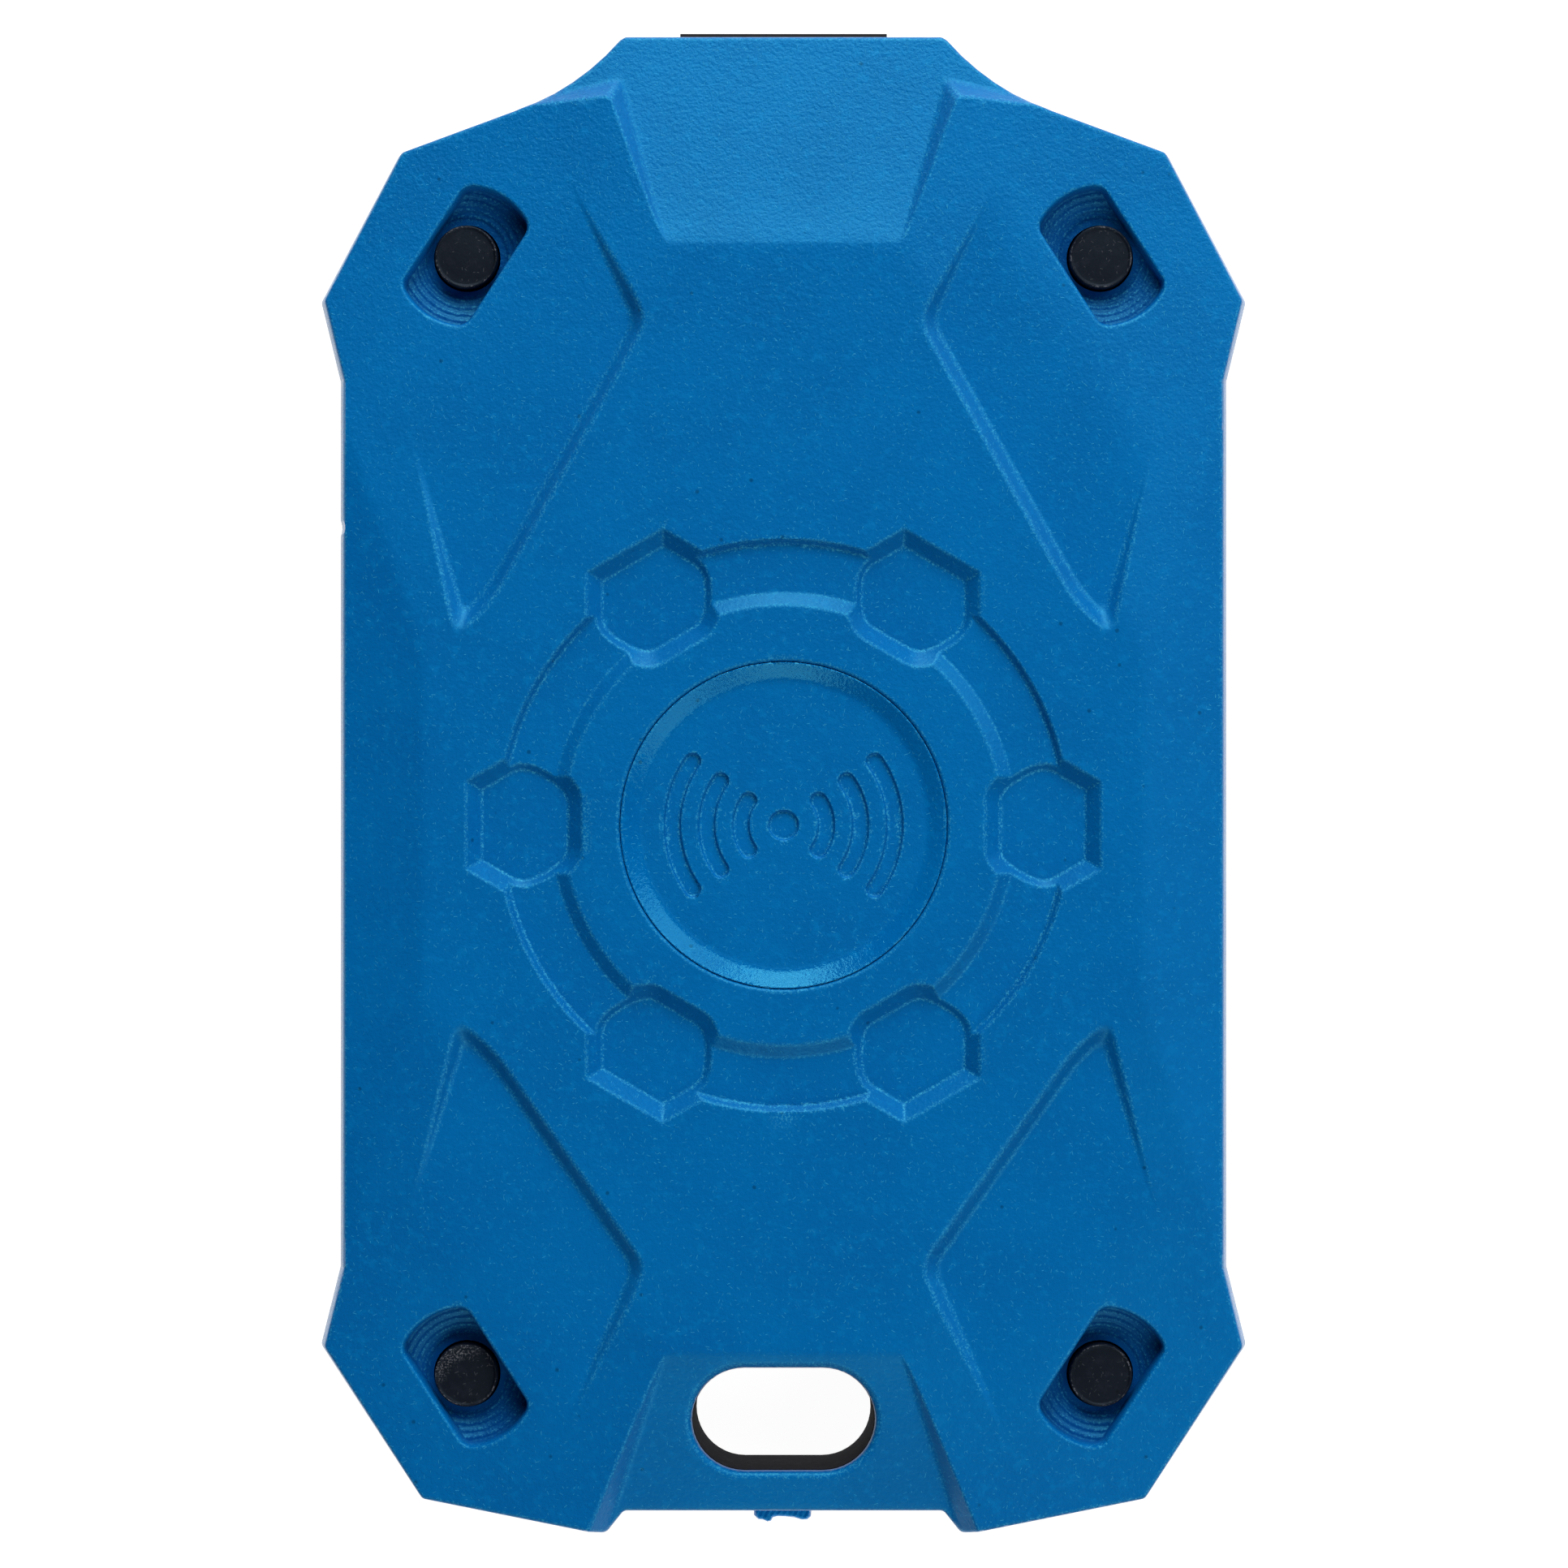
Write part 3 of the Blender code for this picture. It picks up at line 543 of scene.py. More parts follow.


class Graph:
    """The nodes of a new material. A node's inputs are plain values or other nodes' outputs."""

    def __init__(self, name):
        self.material = bpy.data.materials.new(name)
        self.material.use_nodes = True
        self.tree = self.material.node_tree
        self.shader = self.tree.nodes["Principled BSDF"]

    def new(self, kind):
        return self.tree.nodes.new("ShaderNode" + kind)

    def feed(self, node, inputs):
        """Fills a node's inputs, given by index or name, and returns its outputs."""
        for key, value in inputs.items():
            socket = node.inputs[key]
            if isinstance(value, bpy.types.NodeSocket):
                self.tree.links.new(value, socket)
            elif socket.type == "RGBA":
                socket.default_value = (*value, 1)
            else:
                socket.default_value = value
        return node.outputs

    def math(self, operation, *values, clamp=False):
        made = self.new("Math")
        made.operation = operation
        made.use_clamp = clamp
        return self.feed(made, dict(enumerate(values)))[0]

    def times(self, a, b):
        return self.math("MULTIPLY", a, b)

    def vector(self, operation, a, b):
        made = self.new("VectorMath")
        made.operation = operation
        return self.feed(made, {0: a, 1: b})[0]

    def mix(self, factor, a, b):
        """Mixes two colours."""
        made = self.new("Mix")
        made.data_type = "RGBA"
        return self.feed(made, {0: factor, 6: a, 7: b})[2]

    def noise(self, coords, per_mm, detail=2.0, rough=0.5):
        return self.feed(self.new("TexNoise"), {
            "Scale": per_mm / MM, "Detail": detail, "Roughness": rough, "Vector": coords})["Fac"]

    def ramp(self, value, low, high):
        """Goes smoothly from 0 at low to 1 at high."""
        made = self.new("MapRange")
        made.interpolation_type = "SMOOTHSTEP"
        return self.feed(made, {"From Min": low, "From Max": high, "Value": value})["Result"]

    def split(self, value, kind="XYZ"):
        return self.feed(self.new("Separate" + kind), {0: value})

    def stored(self, name):
        """The values that store() put on the mesh, or 0."""
        made = self.new("Attribute")
        made.attribute_name = name
        return made.outputs["Fac"]

    def object_coords(self):
        return self.new("TexCoord").outputs["Object"]

    def bump(self, height, depth_mm, strength):
        raised = self.feed(self.new("Bump"), {
            "Height": height, "Distance": depth_mm * MM, "Strength": strength})
        self.feed(self.shader, {"Normal": raised[0]})


def scaled(color, share):
    return tuple(value * share for value in color)


def surface_coords(g):
    """Object coordinates; the same with the side walls unrolled, for patterns that lie in a
    plane; and 1 on the faces or 0 on the walls."""
    coords = g.object_coords()
    upright = g.math("ABSOLUTE", g.split(g.new("NewGeometry").outputs["True Normal"])[2])
    on_face = g.math("GREATER_THAN", upright, 0.5)
    x, y, z = g.split(coords)
    unrolled = g.feed(g.new("CombineXYZ"), {0: g.math("ADD", x, y), 1: z})[0]
    chosen = g.new("Mix")
    chosen.data_type = "VECTOR"
    flat = g.feed(chosen, {0: on_face, 4: unrolled, 5: coords})[1]
    return coords, flat, on_face


def fibre_mask(g, coords, cell_mm, half_length, half_width, seed):
    """Short straight fibres, one in each cell, lying at random angles in the surface."""
    shifted = g.vector("ADD", coords, (seed * 0.013, seed * 0.017, seed * 0.011))
    cells = g.new("TexVoronoi")
    cells.voronoi_dimensions = "2D"
    cell = g.feed(cells, {"Scale": 1 / (cell_mm * MM), "Vector": shifted})
    random = g.split(cell["Color"], "Color")
    turn = g.new("VectorRotate")
    turn.rotation_type = "Z_AXIS"
    turned = g.feed(turn, {"Vector": g.vector("SUBTRACT", shifted, cell["Position"]),
                           "Angle": g.times(random[0], math.tau)})[0]
    along, across = (g.math("ABSOLUTE", part) for part in g.split(turned)[:2])
    long_enough = g.ramp(along, half_length * MM, half_length * 0.7 * MM)
    thin_enough = g.ramp(across, half_width * MM, half_width * 0.3 * MM)
    return g.times(g.times(long_enough, thin_enough), g.ramp(random[1], 0.45, 1.0))


def body_color(g, coords, cloud, tones):
    """Nylon under its skin: broad clouds, a pale mottle and a few dark specks."""
    body, deep, pale = tones
    mottle = g.noise(coords, 1.6, 3.0, 0.6)
    color = g.mix(g.ramp(cloud, 0.35, 0.68), body, deep)
    color = g.mix(g.ramp(mottle, 0.5, 0.72), color, pale)
    specks = g.feed(g.new("TexVoronoi"), {"Scale": 0.55 / MM, "Vector": coords})
    picked = g.math("GREATER_THAN", g.split(specks["Color"], "Color")[0], 0.7)
    dots = g.times(g.ramp(specks["Distance"], 0.1, 0.04), picked)
    return g.mix(g.times(dots, 0.75), color, scaled(deep, 0.45))


def flecked(g, color, tones, fleck, shown, crumbs, strength):
    """Adds the pale fibres, more of them in hollows; paler ridges, partly edge wear and partly a
    painted highlight; and the gate painted pale, as painted light shining through its thin plastic.
    The recesses get painted shade: they are deeper in colour and show fewer fibres."""
    deep, pale = tones[1:]
    crease, shaded_recess = g.stored("crease"), g.stored("shaded_recess")
    hollow = g.times(g.ramp(crease, 1.2, 3.5), crumbs)
    shown = g.math("MULTIPLY_ADD", hollow, 0.75 * strength, shown, clamp=True)
    # painted shade: the recesses are mixed towards a deeper colour, and fewer fibres show in them
    color = g.mix(g.times(shaded_recess, 0.65), color, (deep[0], 0.3 * deep[1], 0.6 * deep[2]))
    bare = g.math("MULTIPLY_ADD", shaded_recess, -0.6, 1.0)
    color = g.mix(g.times(shown, bare), color, fleck)
    # paler ridges: partly edge wear, partly a painted highlight along the edges
    wear_and_highlight = g.times(g.ramp(crease, -0.5, -2.5), crumbs)
    color = g.mix(g.times(wear_and_highlight, 0.4), color, fleck)
    # painted light: the gate is painted pale, standing in for light shining through its thin
    # plastic
    return g.mix(g.ramp(crease, 0.4 * LIT_GATE, 0.8 * LIT_GATE), color, scaled(pale, 1.5))


def moulded_nylon(name, tones, fleck, fibre_strength, roughness, specular, tint, grain,
                  wall_gloss=1.0):
    """Glass-filled nylon: mottled body, pale fibres near the skin, spark-eroded grain.

    tones are the body, the deep and the pale colour; grain is the bump on the plain fields and
    on the top end, where the mould was eroded coarser; wall_gloss is how much of the roughness
    is left on the walls, which slide out of the mould.
    """
    g = Graph(name)
    coords, flat, on_face = surface_coords(g)
    cloud = g.noise(coords, 0.12, 3.0, 0.55)
    fine = g.noise(coords, 4.2, 2.0, 0.6)
    small, middle, large = (fibre_mask(g, flat, *sizes) for sizes in (
        (0.45, 0.075, 0.024, 1), (0.6, 0.1, 0.022, 5), (0.95, 0.15, 0.024, 9)))
    fibres = g.math("MAXIMUM", g.math("MAXIMUM", small, middle), large)
    near_skin = g.math("MULTIPLY_ADD", cloud, 0.7 * fibre_strength, 0.35 * fibre_strength)
    crumbs = g.times(g.ramp(g.noise(coords, 7.0, 2.0, 0.7), 0.5, 0.62), on_face)
    color = flecked(g, body_color(g, coords, cloud, tones), tones, fleck,
                    g.times(fibres, near_skin), crumbs, fibre_strength)

    rough = g.math("MULTIPLY_ADD", fine, 0.2, roughness * wall_gloss - 0.1)
    rough = g.math("MULTIPLY_ADD", cloud, 0.1, rough)
    rough = g.math("MULTIPLY_ADD", g.stored("polish"), -0.22, rough)
    dull = g.math("MAXIMUM", on_face, g.stored("shaded_recess"))
    rough = g.math("MULTIPLY_ADD", dull, roughness * (1 - wall_gloss), rough)
    g.feed(g.shader, {"Base Color": color, "Roughness": rough, "Specular IOR Level": specular,
                      "Specular Tint": tint})

    height = g.math("MULTIPLY_ADD", g.noise(coords, 1.4, 2.0, 0.5), 0.4, fine)
    height = g.math("MULTIPLY_ADD", fibres, 0.2, height)
    top_end = g.times(g.ramp(g.split(coords)[1], 14 * MM, 42 * MM),
                      g.math("MULTIPLY_ADD", cloud, 0.9, 0.55))
    g.bump(height, 0.05, g.math("MULTIPLY_ADD", top_end, grain[1] - grain[0], grain[0]))
    return g.material


def finish(name, color, second, roughness, metallic=0.0, per_mm=1.0, depth=0.01,
           stretch=(1, 1, 1), pattern=None):
    """A finish for the small pieces: two tones, uneven gloss and a fine, perhaps drawn, surface.

    pattern may add printed detail: it gets the graph and the coordinates, and returns a mask
    and the colour that it lays on.
    """
    g = Graph(name)
    coords = g.object_coords()
    drawn = g.vector("MULTIPLY", coords, stretch)
    patches = g.noise(drawn, per_mm, 4.0, 0.6)
    tone = g.mix(g.ramp(patches, 0.35, 0.65), color, second)
    if pattern:
        mask, laid = pattern(g, coords)
        tone = g.mix(mask, tone, laid)
    g.feed(g.shader, {"Base Color": tone,
                      "Roughness": g.math("MULTIPLY_ADD", patches, 0.2, roughness - 0.1),
                      "Metallic": metallic, "Specular IOR Level": 0.5 if metallic else 0.3})
    g.bump(g.noise(drawn, per_mm * 5), depth, 0.6)
    return g.material


def lines(g, coords, direction):
    """Parallel lines, wandering a little."""
    made = g.new("TexWave")
    made.bands_direction = direction
    waves = g.feed(made, {"Scale": 1.2 / MM, "Distortion": 3.0, "Detail Scale": 0.6,
                          "Vector": coords})
    return g.ramp(waves["Fac"], 0.6, 0.75)


def tracks(g, coords):
    """Copper tracks under the solder mask, in blocks that run one way or the other."""
    blocks = g.new("TexVoronoi")
    blocks.distance = "CHEBYCHEV"
    block = g.split(g.feed(blocks, {"Scale": 0.2 / MM, "Vector": coords})["Color"], "Color")
    upright = g.math("GREATER_THAN", block[0], 0.5)
    used = g.math("GREATER_THAN", block[1], 0.45)
    either = g.feed(g.new("Mix"), {0: upright, 2: lines(g, coords, "X"),
                                   3: lines(g, coords, "Y")})[0]
    return g.times(either, used), (0.03, 0.2, 0.09)


def windings(g, coords):
    """Rings round the press pad's axis."""
    rings = g.new("TexWave")
    rings.wave_type = "RINGS"
    rings.rings_direction = "Z"
    centred = g.vector("SUBTRACT", coords, to_world(0, DIAL_Y, 0))
    waves = g.feed(rings, {"Scale": 0.32 / MM, "Vector": centred})
    return g.ramp(waves["Fac"], 0.4, 0.6), (0.7, 0.3, 0.12)


BLUE = moulded_nylon(
    "blue_filled_nylon", ((0.0, 0.136, 0.417), (0.0, 0.121, 0.386), (0.0005, 0.153, 0.443)),
    fleck=(0.05, 0.42, 0.66), fibre_strength=0.75, roughness=0.35, specular=0.45,
    tint=(0.12, 0.83, 1.0), grain=(0.6, 1.05), wall_gloss=0.5)
BLACK = moulded_nylon(
    "black_filled_nylon", ((0.008, 0.008, 0.012), (0.005, 0.005, 0.008), (0.014, 0.014, 0.019)),
    fleck=(0.06, 0.06, 0.07), fibre_strength=0.3, roughness=0.68, specular=0.1,
    tint=(0.9, 0.9, 1.0), grain=(0.35, 0.5), wall_gloss=1.4)
PIN_BLACK = moulded_nylon(
    "black_pin_nylon", ((0.004, 0.006, 0.011), (0.003, 0.004, 0.008), (0.007, 0.009, 0.015)),
    fleck=(0.3, 0.31, 0.34), fibre_strength=0.3, roughness=0.5, specular=0.22,
    tint=(0.6, 0.8, 1.0), grain=(0.25, 0.25))
FINISHES = {
    "black_nylon": BLACK,
    "silicone": finish("black_silicone", (0.011, 0.01, 0.011), (0.017, 0.016, 0.018), 0.66),
    "ivory_nylon": finish("natural_nylon", (0.72, 0.69, 0.6), (0.66, 0.62, 0.52), 0.42),
    "board_laminate": finish("solder_mask", (0.008, 0.085, 0.045), (0.01, 0.1, 0.05), 0.3,
                             per_mm=2.0, pattern=tracks),
    "tinned_steel": finish("tinned_steel", (0.64, 0.64, 0.62), (0.56, 0.56, 0.55), 0.3, 1.0,
                           per_mm=0.8, stretch=(1, 9, 1)),
    "white_ceramic": finish("fired_ceramic", (0.76, 0.75, 0.71), (0.7, 0.69, 0.64), 0.55,
                            per_mm=2.5),
    "chip_epoxy": finish("moulded_epoxy", (0.014, 0.014, 0.015), (0.022, 0.022, 0.024), 0.55,
                         per_mm=6.0),
    "pouch_foil": finish("pouch_foil", (0.55, 0.56, 0.58), (0.45, 0.46, 0.48), 0.34, 0.9,
                         per_mm=0.35, depth=0.12),
    "grey_foam": finish("grey_foam", (0.08, 0.08, 0.082), (0.13, 0.13, 0.135), 0.9, per_mm=2.5,
                        depth=0.15),
    "red_insulation": finish("red_insulation", (0.5, 0.012, 0.01), (0.42, 0.008, 0.008), 0.38),
    "black_insulation": finish("black_insulation", (0.012, 0.012, 0.012),
                               (0.02, 0.02, 0.02), 0.38),
    "piezo_brass": finish("rolled_brass", (0.75, 0.52, 0.2), (0.66, 0.44, 0.16), 0.32, 1.0,
                          per_mm=1.0, stretch=(8, 1, 1)),
    "coil_film": finish("coil_film", (0.3, 0.12, 0.04), (0.36, 0.15, 0.05), 0.35,
                        pattern=windings),
}


def inner_finishes():
    """Gives each CAD node that still shows the finish of its slot."""
    for part in frame["record"]["subparts"]:
        node = frame["nodes"][part["node"]]
        if not node.hide_render:
            node.data.materials.clear()
            node.data.materials.append(FINISHES[part["material_slot"]])


def drawing_points(mesh):
    """The x, y and z of a mesh's points in the drawing frame."""
    points = np.empty(len(mesh.vertices) * 3, dtype=np.float32)
    mesh.vertices.foreach_get("co", points)
    return (points.reshape(-1, 3).astype(float) / MM - np.array([0, SHIFT_Y, 0])).T


def store(mesh, name, values):
    """Keeps a value for each point of a mesh, for the material to read."""
    mesh.attributes.new(name, "FLOAT", "POINT").data.foreach_set(
        "value", values.astype(np.float32))


def mark_creases(mesh, *heights):
    """Stores how hollow (+) or ridged (-) the reliefs are at each of their points."""
    x, y, z = drawing_points(mesh)
    reach, bend = 0.12, np.zeros(x.shape)
    for height in heights:
        here = height(x, y)
        around = sum(height(x + dx, y + dy) for dx, dy in
                     ((reach, 0), (-reach, 0), (0, reach), (0, -reach)))
        bend = np.where(np.abs(z - here) < 0.02, (around - 4 * here) / reach ** 2, bend)
    # the gate gets its own mark, for the painted light on it
    bend = np.where((y < FOOT_Y - 0.05) & (np.abs(x) < 3), LIT_GATE, np.clip(bend, -6, 6))
    store(mesh, "crease", bend)


def mark_recesses(mesh):
    """Stores 1 in the pin pockets and on the walls of the lanyard slot, where the blue material
    paints shade.
    """
    x, y, z = drawing_points(mesh)
    near = np.min([np.hypot(x - px, y - py) for px, py in PINS], axis=0)
    floors = (near < POCKET_R + 0.1) & (z < 7.0)
    in_slot = stadium_distance(x, y, (0, SLOT_Y), SLOT_HALF, SLOT_R) < 0.01
    store(mesh, "shaded_recess", floors | in_slot)


# ---------------------------------------------------------------- front shell
def tool_marks(centre):
    """Pocket floor: a shallow cone in steps, as a turning cutter leaves it."""
    def height(x, y):
        radius = np.hypot(x - centre[0], y - centre[1])
        turns = np.clip(radius - 2.3, 0, POCKET_R) / 0.44
        part = turns % 1.0
        steps = np.floor(turns) + np.clip((part - 0.55) / 0.45, 0, 1)
        return POCKET_FLOOR + 0.13 * steps
    return height


def gate_stub():
    """The torn end of the moulding's sprue."""
    outline = [(-1.75, -46.2), (-1.93, -46.9), (-1.93, -47.45), (-1.66, -47.72),
               (-1.32, -47.76), (-1.05, -47.88), (-0.82, -47.84), (-0.7, -47.62),
               (-0.4, -47.53), (0.1, -47.55), (0.7, -47.62), (1.2, -47.76), (1.55, -47.74),
               (1.78, -47.54), (1.82, -46.9), (1.7, -46.2)]
    outline = dense(outline, 0.1)

    def swell(x, y):
        inner = np.clip(polygon_distance(x, y, outline) / 0.25, 0, 1)
        torn = 0.05 * np.sin(7.3 * x + 2.1 * y) + 0.04 * np.sin(17.0 * x - 9.0 * y + 1.3)
        return 0.47 * np.sqrt(inner * (2 - inner)) + torn * inner
    skin = Skin()
    cells = (0.4, 0.1, 0.004)
    upper = skin.patch([outline], lambda x, y: GATE_Z + 0.03 + swell(x, y), *cells)[0]
    lower = skin.patch([outline], lambda x, y: GATE_Z - 0.03 - swell(x, y), *cells, up=False)[0]
    skin.strip(upper, lower)
    return placed("gate", skin.mesh("gate"))


def port_cutters():
    return [port_cutter("mouth", PORT_HALF, PORT_R, (CAVITY_TOP_Y - 1, TOP_Y + 3)),
            box_cutter("seat", (-6.9, 6.9), (TOP_Y - 1.3, TOP_Y + 4), (1.1, 6.1))]


def nicked_edge():
    """The case's outline with the small nick in its left side."""
    nick = [(-BODY_X + depth, 16.4 + rise) for depth, rise in (
        (0, 0.7), (0.07, 0.55), (0.12, 0.35), (0.13, 0.15), (0.09, -0.1), (0.03, -0.25),
        (0, -0.4))]
    at = max(i for i, p in enumerate(CASE) if p[0] < -BODY_X + 0.01 and p[1] > 20)
    return dense(CASE[:at + 1] + nick + CASE[at + 1:], EDGE_SPACING)


def front_shell():
    skin = Skin()
    edge = nicked_edge()
    slot = dense(slot_outline(), SLOT_SPACING)
    slot_wall = dense(slot_outline(COLLAR + COLLAR_GAP), SLOT_SPACING)
    hole = circle((0, DIAL_Y), PAD_HOLE_R, DIAL_SIDES)
    mouths = [dense(outline, 0.35) for outline in POCKETS]
    loops = skin.patch([narrowed(edge), slot, hole] + mouths, front_height, 1.6, 0.1, 0.0035)
    pins = [circle(centre, PIN_HOLE_R, 40) for centre in PINS]
    base = skin.patch([moved_in(edge, SEAM_BEVEL), slot_wall, hole] + pins, level(FRONT_BASE),
                      0, 1, 1, up=False)
    skirt = skin.ring(edge, [skin.points[i][2] - SKIRT for i in loops[0]])
    lower_edge = skin.ring(edge, FRONT_BASE + SEAM_BEVEL)
    skin.strip(loops[0], skirt)
    skin.strip(skirt, lower_edge)
    skin.strip(lower_edge, base[0])
    lip = [skin.points[i][2] - LIP for i in loops[1]]
    under_lip = skin.ring(slot, lip)
    wall_top = skin.ring(slot_wall, lip)
    skin.strip(loops[1], under_lip, out=False)
    skin.strip(under_lip, wall_top, out=False)
    skin.strip(wall_top, base[1], out=False)
    skin.strip(loops[2], base[2], out=False)
    for i, (mouth, pin, centre) in enumerate(zip(mouths, pins, PINS)):
        floor = skin.patch([moved_in(mouth, 0.14), pin], tool_marks(centre), 0.8, 0.1, 0.004)
        skin.strip(loops[3 + i], floor[0], out=False)
        skin.strip(floor[1], base[3 + i], out=False)
    block = placed("front_block", skin.mesh("front_block"))
    hall_outline = [(x, min(y, NECK_Y)) for x, y in cavity_outline()]
    cutters = port_cutters() + [
        placed("hall", prism_mesh("hall", hall_outline, 2, HALL_TOP)),
        box_cutter("neck", (-NECK_X, NECK_X), (NECK_Y - 2, CAVITY_TOP_Y), (2, NECK_TOP)),
        box_cutter("strap_way", (-6.75, -4.95), (CAVITY_TOP_Y - 2, TOP_Y - 0.8), (4.45, 5.75))]
    mesh = carve(block, [gate_stub()], "UNION")
    mesh = carve(placed("front_block", mesh), cutters)
    mark_creases(mesh, front_height, *(tool_marks(centre) for centre in PINS))
    mark_recesses(mesh)
    return add_piece("front_shell_skin", mesh, BLUE, "case", "blue_nylon", "front_shell")


# ---------------------------------------------------------------- rear shell
def back_height(x, y):
    """Flat back with round edges, grip grooves and the four pin-head seats."""
    height = round_drop(polygon_distance(x, y, CASE), BACK_FILLET)
    slot = stadium_distance(x, y, (0, SLOT_Y), SLOT_HALF - SLOT_DRAFT, SLOT_R - SLOT_DRAFT)
    height = height + round_drop(slot, SLOT_ROUND)
    for centre in PINS:
        height = height + round_drop(np.hypot(x - centre[0], y - centre[1]) - HEAD_SEAT_R, 0.15)
    for i in range(6):
        outside = stadium_distance(np.abs(x), y, (22.5, -19.3 + 6.6 * i), 3.5, 0.7)
        groove = smin(np.full(x.shape, 0.45), -outside / 0.8, 0.12)
        height = smax(height, groove, 0.06)
    return height


def rear_shell():
    skin = Skin()
    edge = dense(CASE, EDGE_SPACING)
    slot, collar_in, collar_out = (slot_outline(grow) for grow in (-SLOT_DRAFT, -COLLAR_IN, COLLAR))
    mouth = np.array(slot_outline())
    collar_top = front_height(mouth[:, 0], mouth[:, 1]) - LIP - LIP_GAP
    seats = [circle(centre, HEAD_SEAT_R, 48) for centre in PINS]
    pins = [circle(centre, PIN_HOLE_R, 48) for centre in PINS]
    back = skin.patch([edge, slot] + seats, back_height, 1.6, 0.1, 0.004, up=False)
    top = skin.patch([moved_in(edge, SEAM_BEVEL), collar_out] + pins, level(REAR_TOP), 0, 1, 1)
    upper_edge = skin.ring(edge, REAR_TOP - SEAM_BEVEL)
    skin.strip(top[0], upper_edge)
    skin.strip(upper_edge, back[0])
    outer, inner = skin.ring(collar_out, collar_top), skin.ring(collar_in, collar_top)
    skin.strip(outer, top[1])
    skin.strip(inner, outer)
    skin.strip(inner, back[1], out=False)
    for i in range(4):
        floor = skin.patch([seats[i], pins[i]], level(FLOOR), 0, 1, 1, up=False)
        skin.strip(floor[0], back[2 + i], out=False)
        skin.strip(top[2 + i], floor[1], out=False)
    block = placed("rear_block", skin.mesh("rear_block"))
    channel = carve(
        placed("channel", prism_mesh("channel", cavity_outline(1.9), 2.85, 6)),
        [placed("channel_inner", prism_mesh("channel_inner", cavity_outline(0.7), 0, 8)),
         box_cutter("channel_gap", (-7.0, 7.0), (CAVITY_TOP_Y, TOP_Y + 3), (0, 8))])
    hall = placed("hall", prism_mesh("hall", cavity_outline(), FLOOR, 14))
    mesh = carve(block, port_cutters() + [hall, placed("channel", channel)])
    sunk = FLOOR - 0.4
    ribs = [box_cutter("rib_a", (-14.0, 14.0), (-14.9, -14.1), (sunk, RIB_TOP)),
            box_cutter("rib_b", (-24.4, -23.6), (-29.0, -18.0), (sunk, RIB_TOP))]
    ribs += [placed("post", prism_mesh("post", circle(c, POST_R, 40), sunk, POST_TOP))
             for c in SCREWS]
    mesh = carve(placed("rear_block", mesh), ribs, "UNION")
    bores = [placed("bore", prism_mesh("bore", circle(c, BORE_R, 32), BORE_LOW, 6))
             for c in SCREWS]
    mesh = carve(placed("rear_block", mesh), bores)
    return add_piece("rear_shell_skin", mesh, BLACK, "case", "black_nylon", "rear_shell")


# ---------------------------------------------------------------- press pad
DISH, DISH_R = 8.95, 9.3
CAP_R = 10.483
CAP_GUIDE_R = 10.5
CAP_SIDE = ((CAP_R, 9.2), (CAP_GUIDE_R, 9.1), (CAP_GUIDE_R, 7.1), (11.9, 7.1), (11.9, 6.4),
            (9.4, 6.4), (9.4, 7.95), (2.0, 7.95))    # radius and height, from the rim to the nub
NUB_R, NUB_LOW = 2.0, 5.9
GLYPH_ARCS = (2.75, 4.95, 7.15)
GLYPH_SPREAD = math.radians(35)
GLYPH_STROKE, GLYPH_DOT = 0.52, 0.95
GLYPH_DEPTH = 0.3


def glyph_distance(x, y):
    """Distance outside a plain radio-wave sign: a dot between arcs."""
    u, v = np.abs(x), y - DIAL_Y
    made = np.hypot(u, v) - GLYPH_DOT
    angle = np.arctan2(np.abs(v), u)
    for radius in GLYPH_ARCS:
        end = np.hypot(u - radius * math.cos(GLYPH_SPREAD),
                       np.abs(v) - radius * math.sin(GLYPH_SPREAD))
        along = np.abs(np.hypot(u, v) - radius)
        made = np.minimum(made, np.where(angle < GLYPH_SPREAD, along, end) - GLYPH_STROKE)
    return made


def dish_height(x, y):
    """Height of the press pad's face, with the sign cut in its floor."""
    radius = np.hypot(x, y - DIAL_Y)
    height = smax(np.full(x.shape, DISH), DISH + (radius - DISH_R) * 0.5, 0.14)
    cut = DISH - GLYPH_DEPTH
    walls = cut + glyph_distance(x, y) / 0.35 + 0.18
    height = smin(height, smax(np.full(x.shape, cut), walls, 0.1), 0.08)
    return height - round_drop(CAP_R - radius, 0.08)


def press_pad():
    def ring(radius):
        return circle((0, DIAL_Y), radius, DIAL_SIDES)
    skin = Skin()
    above = skin.patch([ring(CAP_R)], dish_height, 1.2, 0.075, 0.0016)[0]
    for radius, z in CAP_SIDE:
        below = skin.ring(ring(radius), z)
        skin.strip(above, below)
        above = below
    nub = skin.patch([ring(NUB_R)], level(NUB_LOW), 0, 1, 1, up=False)[0]
    skin.strip(above, nub)
    mesh = skin.mesh("press_pad_skin")
    mark_creases(mesh, dish_height)
    x, y, z = drawing_points(mesh)
    on_wall = (np.hypot(x, y - DIAL_Y) > DISH_R - 0.05) & (z > DISH + 0.02)
    store(mesh, "polish", on_wall)
    return add_piece("press_pad_skin", mesh, BLUE, "button", "blue_nylon", "button_cap")


# ---------------------------------------------------------------- pins and plug
SCUFFED = 2              # the pin with the rough, worn end
PIN_PROFILE = (          # radius, height, and how much of the burr's wave is added to it
    (0.7, 7.33, 0), (1.35, 7.31, 0), (1.74, 7.28, 0), (1.83, 7.29, 0.4), (1.88, 7.35, 1),
    (1.94, 7.36, 1), (2.0, 7.32, 0.7), (2.03, 7.25, 0), (2.03, 1.4, 0), (2.13, 1.3, 0),
    (3.1, 1.3, 0), (3.2, 1.2, 0), (3.2, 0.4, 0), (3.0, 0.17, 0), (2.8, 0.15, 0))
GROOVES, GROOVE_PITCH = 7, 1.1


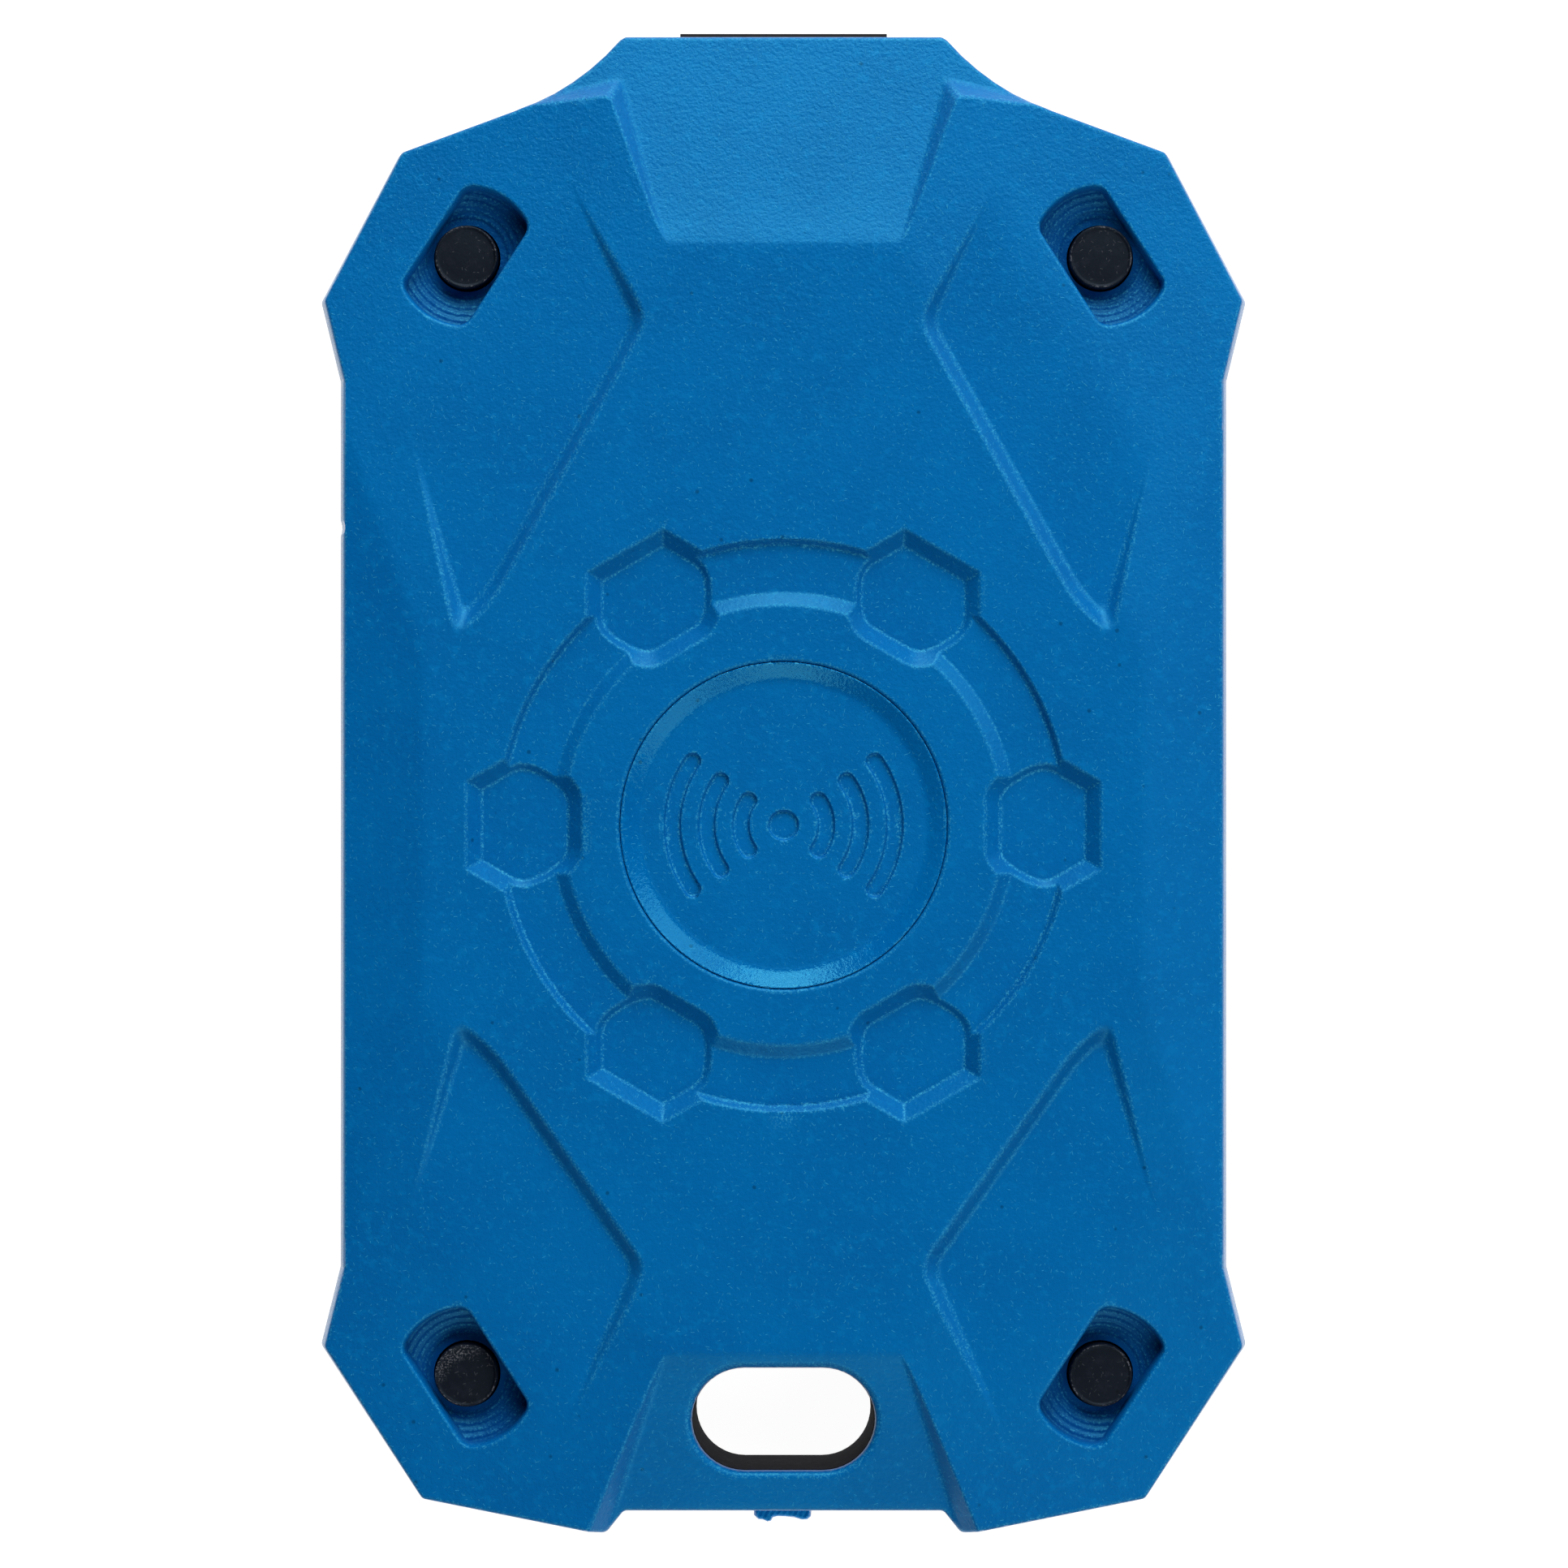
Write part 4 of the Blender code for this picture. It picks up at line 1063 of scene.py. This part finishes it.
def mark_pin_rims_and_scuff(mesh, centre, index):
    """Stores a pin's burred rim as a ridge, and one pin's scuffed side; the material paints both
    paler, the rim partly as wear and partly as a painted highlight.
    """
    x, y, z = drawing_points(mesh)
    right, up = x - centre[0], y - centre[1]
    radius, angle = np.hypot(right, up), np.arctan2(up, right)
    rim_wear_and_highlight = np.exp(-((radius - 1.94) / 0.06) ** 2) * (0.6 + 0.4 * np.sin(4 * angle + 2 * index))
    if index == SCUFFED:
        rim_wear_and_highlight = rim_wear_and_highlight + np.clip((radius - 1.0) / 0.5, 0, 1) * np.clip(np.cos(angle - 2.2), 0, 1)
    store(mesh, "crease", np.where(z > 7.1, -3.0 * rim_wear_and_highlight, 0))


def retaining_pins():
    sides = 56
    for index, centre in enumerate(PINS):
        rough = 0.05 if index == SCUFFED else 0.018
        wave = [rough * (math.sin(3 * a + index) + 0.6 * math.sin(7 * a + 2 * index)
                         + 0.5 * math.sin(13 * a + index * index))
                for a in (math.tau * i / sides for i in range(sides))]
        skin = Skin()
        above = skin.patch([circle(centre, 0.45, sides)], level(7.34), 0, 1, 1)[0]
        for radius, z, share in PIN_PROFILE:
            below = skin.ring(circle(centre, radius, sides), [z + share * w for w in wave])
            skin.strip(above, below)
            above = below
        end = skin.patch([circle(centre, 2.4, sides)], level(0.15), 0, 1, 1, up=False)[0]
        skin.strip(above, end)
        name = f"retaining_pin_{index + 1}"
        mesh = skin.mesh(name + "_skin")
        mark_pin_rims_and_scuff(mesh, centre, index)
        add_piece(name + "_skin", mesh, PIN_BLACK, "case", "black_nylon", name, sharp=50)


def softened(node, width, segments):
    """A copy of a CAD node's mesh with its edges rounded."""
    bm = bmesh.new()
    bm.from_mesh(frame["nodes"][node].data)
    bmesh.ops.remove_doubles(bm, verts=bm.verts, dist=1e-6)
    bmesh.ops.dissolve_limit(bm, angle_limit=math.radians(1), verts=bm.verts, edges=bm.edges)
    corners = [e for e in bm.edges if len(e.link_faces) == 2
               and e.calc_face_angle() > math.radians(35)]
    bmesh.ops.bevel(bm, geom=corners, offset=width * MM, segments=segments, profile=0.5,
                    affect="EDGES", clamp_overlap=True)
    bmesh.ops.triangulate(bm, faces=bm.faces)
    mesh = bpy.data.meshes.new(node + "_skin")
    bm.to_mesh(mesh)
    bm.free()
    return mesh


def port_plug():
    """The cover, with grip grooves and a nail notch in its outer face."""
    high_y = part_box("port_plug")[1][1] / MM - SHIFT_Y
    cutters = [box_cutter("notch", (-2.4, 2.4), (high_y - 0.45, high_y + 1), (0.8, 1.8))]
    for i in range(GROOVES):
        x = GROOVE_PITCH * (i - (GROOVES - 1) / 2)
        cutters.append(box_cutter("groove", (x - 0.2, x + 0.2), (high_y - 0.35, high_y + 1),
                                  (2.5, 5.1)))
    mesh = carve(placed("plug_block", softened("port_plug", 0.25, 1)), cutters)
    add_piece("port_plug_skin", mesh, FINISHES["silicone"], "plug", "silicone", "port_plug",
              sharp=22)


# ---------------------------------------------------------------- camera, light and floor
CAMERA_DISTANCE = 0.35   # metres above the plateau
AIM = (0.03, 0.05)       # where it looks, in the drawing frame
FIELD = 0.10063          # width of the plateau's plane in view
SENSOR = 36.0
LAMP_DISTANCE, LAMP_SIZE = 0.6, 0.3
LAMPS = (            # name, heading clockwise from the top end, angle from upright, watts
    ("key", 0, 48, 1.9),
    ("key_right", 45, 48, 0.95),
    ("low_right", 135, 48, 0.7),
    ("foot", 180, 54, 0.8),
    ("graze", 0, 72, 1.55),
    ("graze_right", 60, 72, 0.25),
)


def camera():
    data = bpy.data.cameras.new("camera")
    data.sensor_width = SENSOR
    data.lens = SENSOR * CAMERA_DISTANCE / FIELD
    made = placed("camera", data)
    made.location = Vector(to_world(*AIM, PLATEAU)) + Vector((0, 0, CAMERA_DISTANCE))
    bpy.context.scene.camera = made
    bpy.context.scene.view_settings.view_transform = "Standard"


def lamps():
    world = bpy.data.worlds.new("studio")
    world.use_nodes = True
    sky = world.node_tree.nodes["Background"].inputs
    sky["Color"].default_value = (1, 1, 1, 1)
    sky["Strength"].default_value = 0.02
    bpy.context.scene.world = world
    for name, heading, tilt, power in LAMPS:
        turn, lean = math.radians(heading), math.radians(tilt)
        light = bpy.data.lights.new(name, "AREA")
        light.shape = "SQUARE"
        light.size = LAMP_SIZE
        light.energy = power
        lamp = placed(name, light)
        lamp.location = (LAMP_DISTANCE * math.sin(lean) * math.sin(turn),
                         LAMP_DISTANCE * math.sin(lean) * math.cos(turn),
                         LAMP_DISTANCE * math.cos(lean))
        lamp.rotation_euler = (-lamp.location).to_track_quat("-Z", "Y").to_euler()


def studio_floor():
    g = Graph("studio_floor")
    g.feed(g.shader, {"Base Color": (0.3, 0.3, 0.3), "Roughness": 0.9,
                      "Emission Color": (1, 1, 1), "Emission Strength": 0.97})
    bm = bmesh.new()
    bmesh.ops.create_grid(bm, x_segments=1, y_segments=1, size=2.0)
    mesh = bpy.data.meshes.new("studio_floor")
    bm.to_mesh(mesh)
    bm.free()
    mesh.materials.append(g.material)
    floor = placed("studio_floor", mesh)
    floor.location = (0, 0, -0.00005)


camera()
lamps()
studio_floor()
front_shell()
rear_shell()
press_pad()
retaining_pins()
port_plug()
inner_finishes()
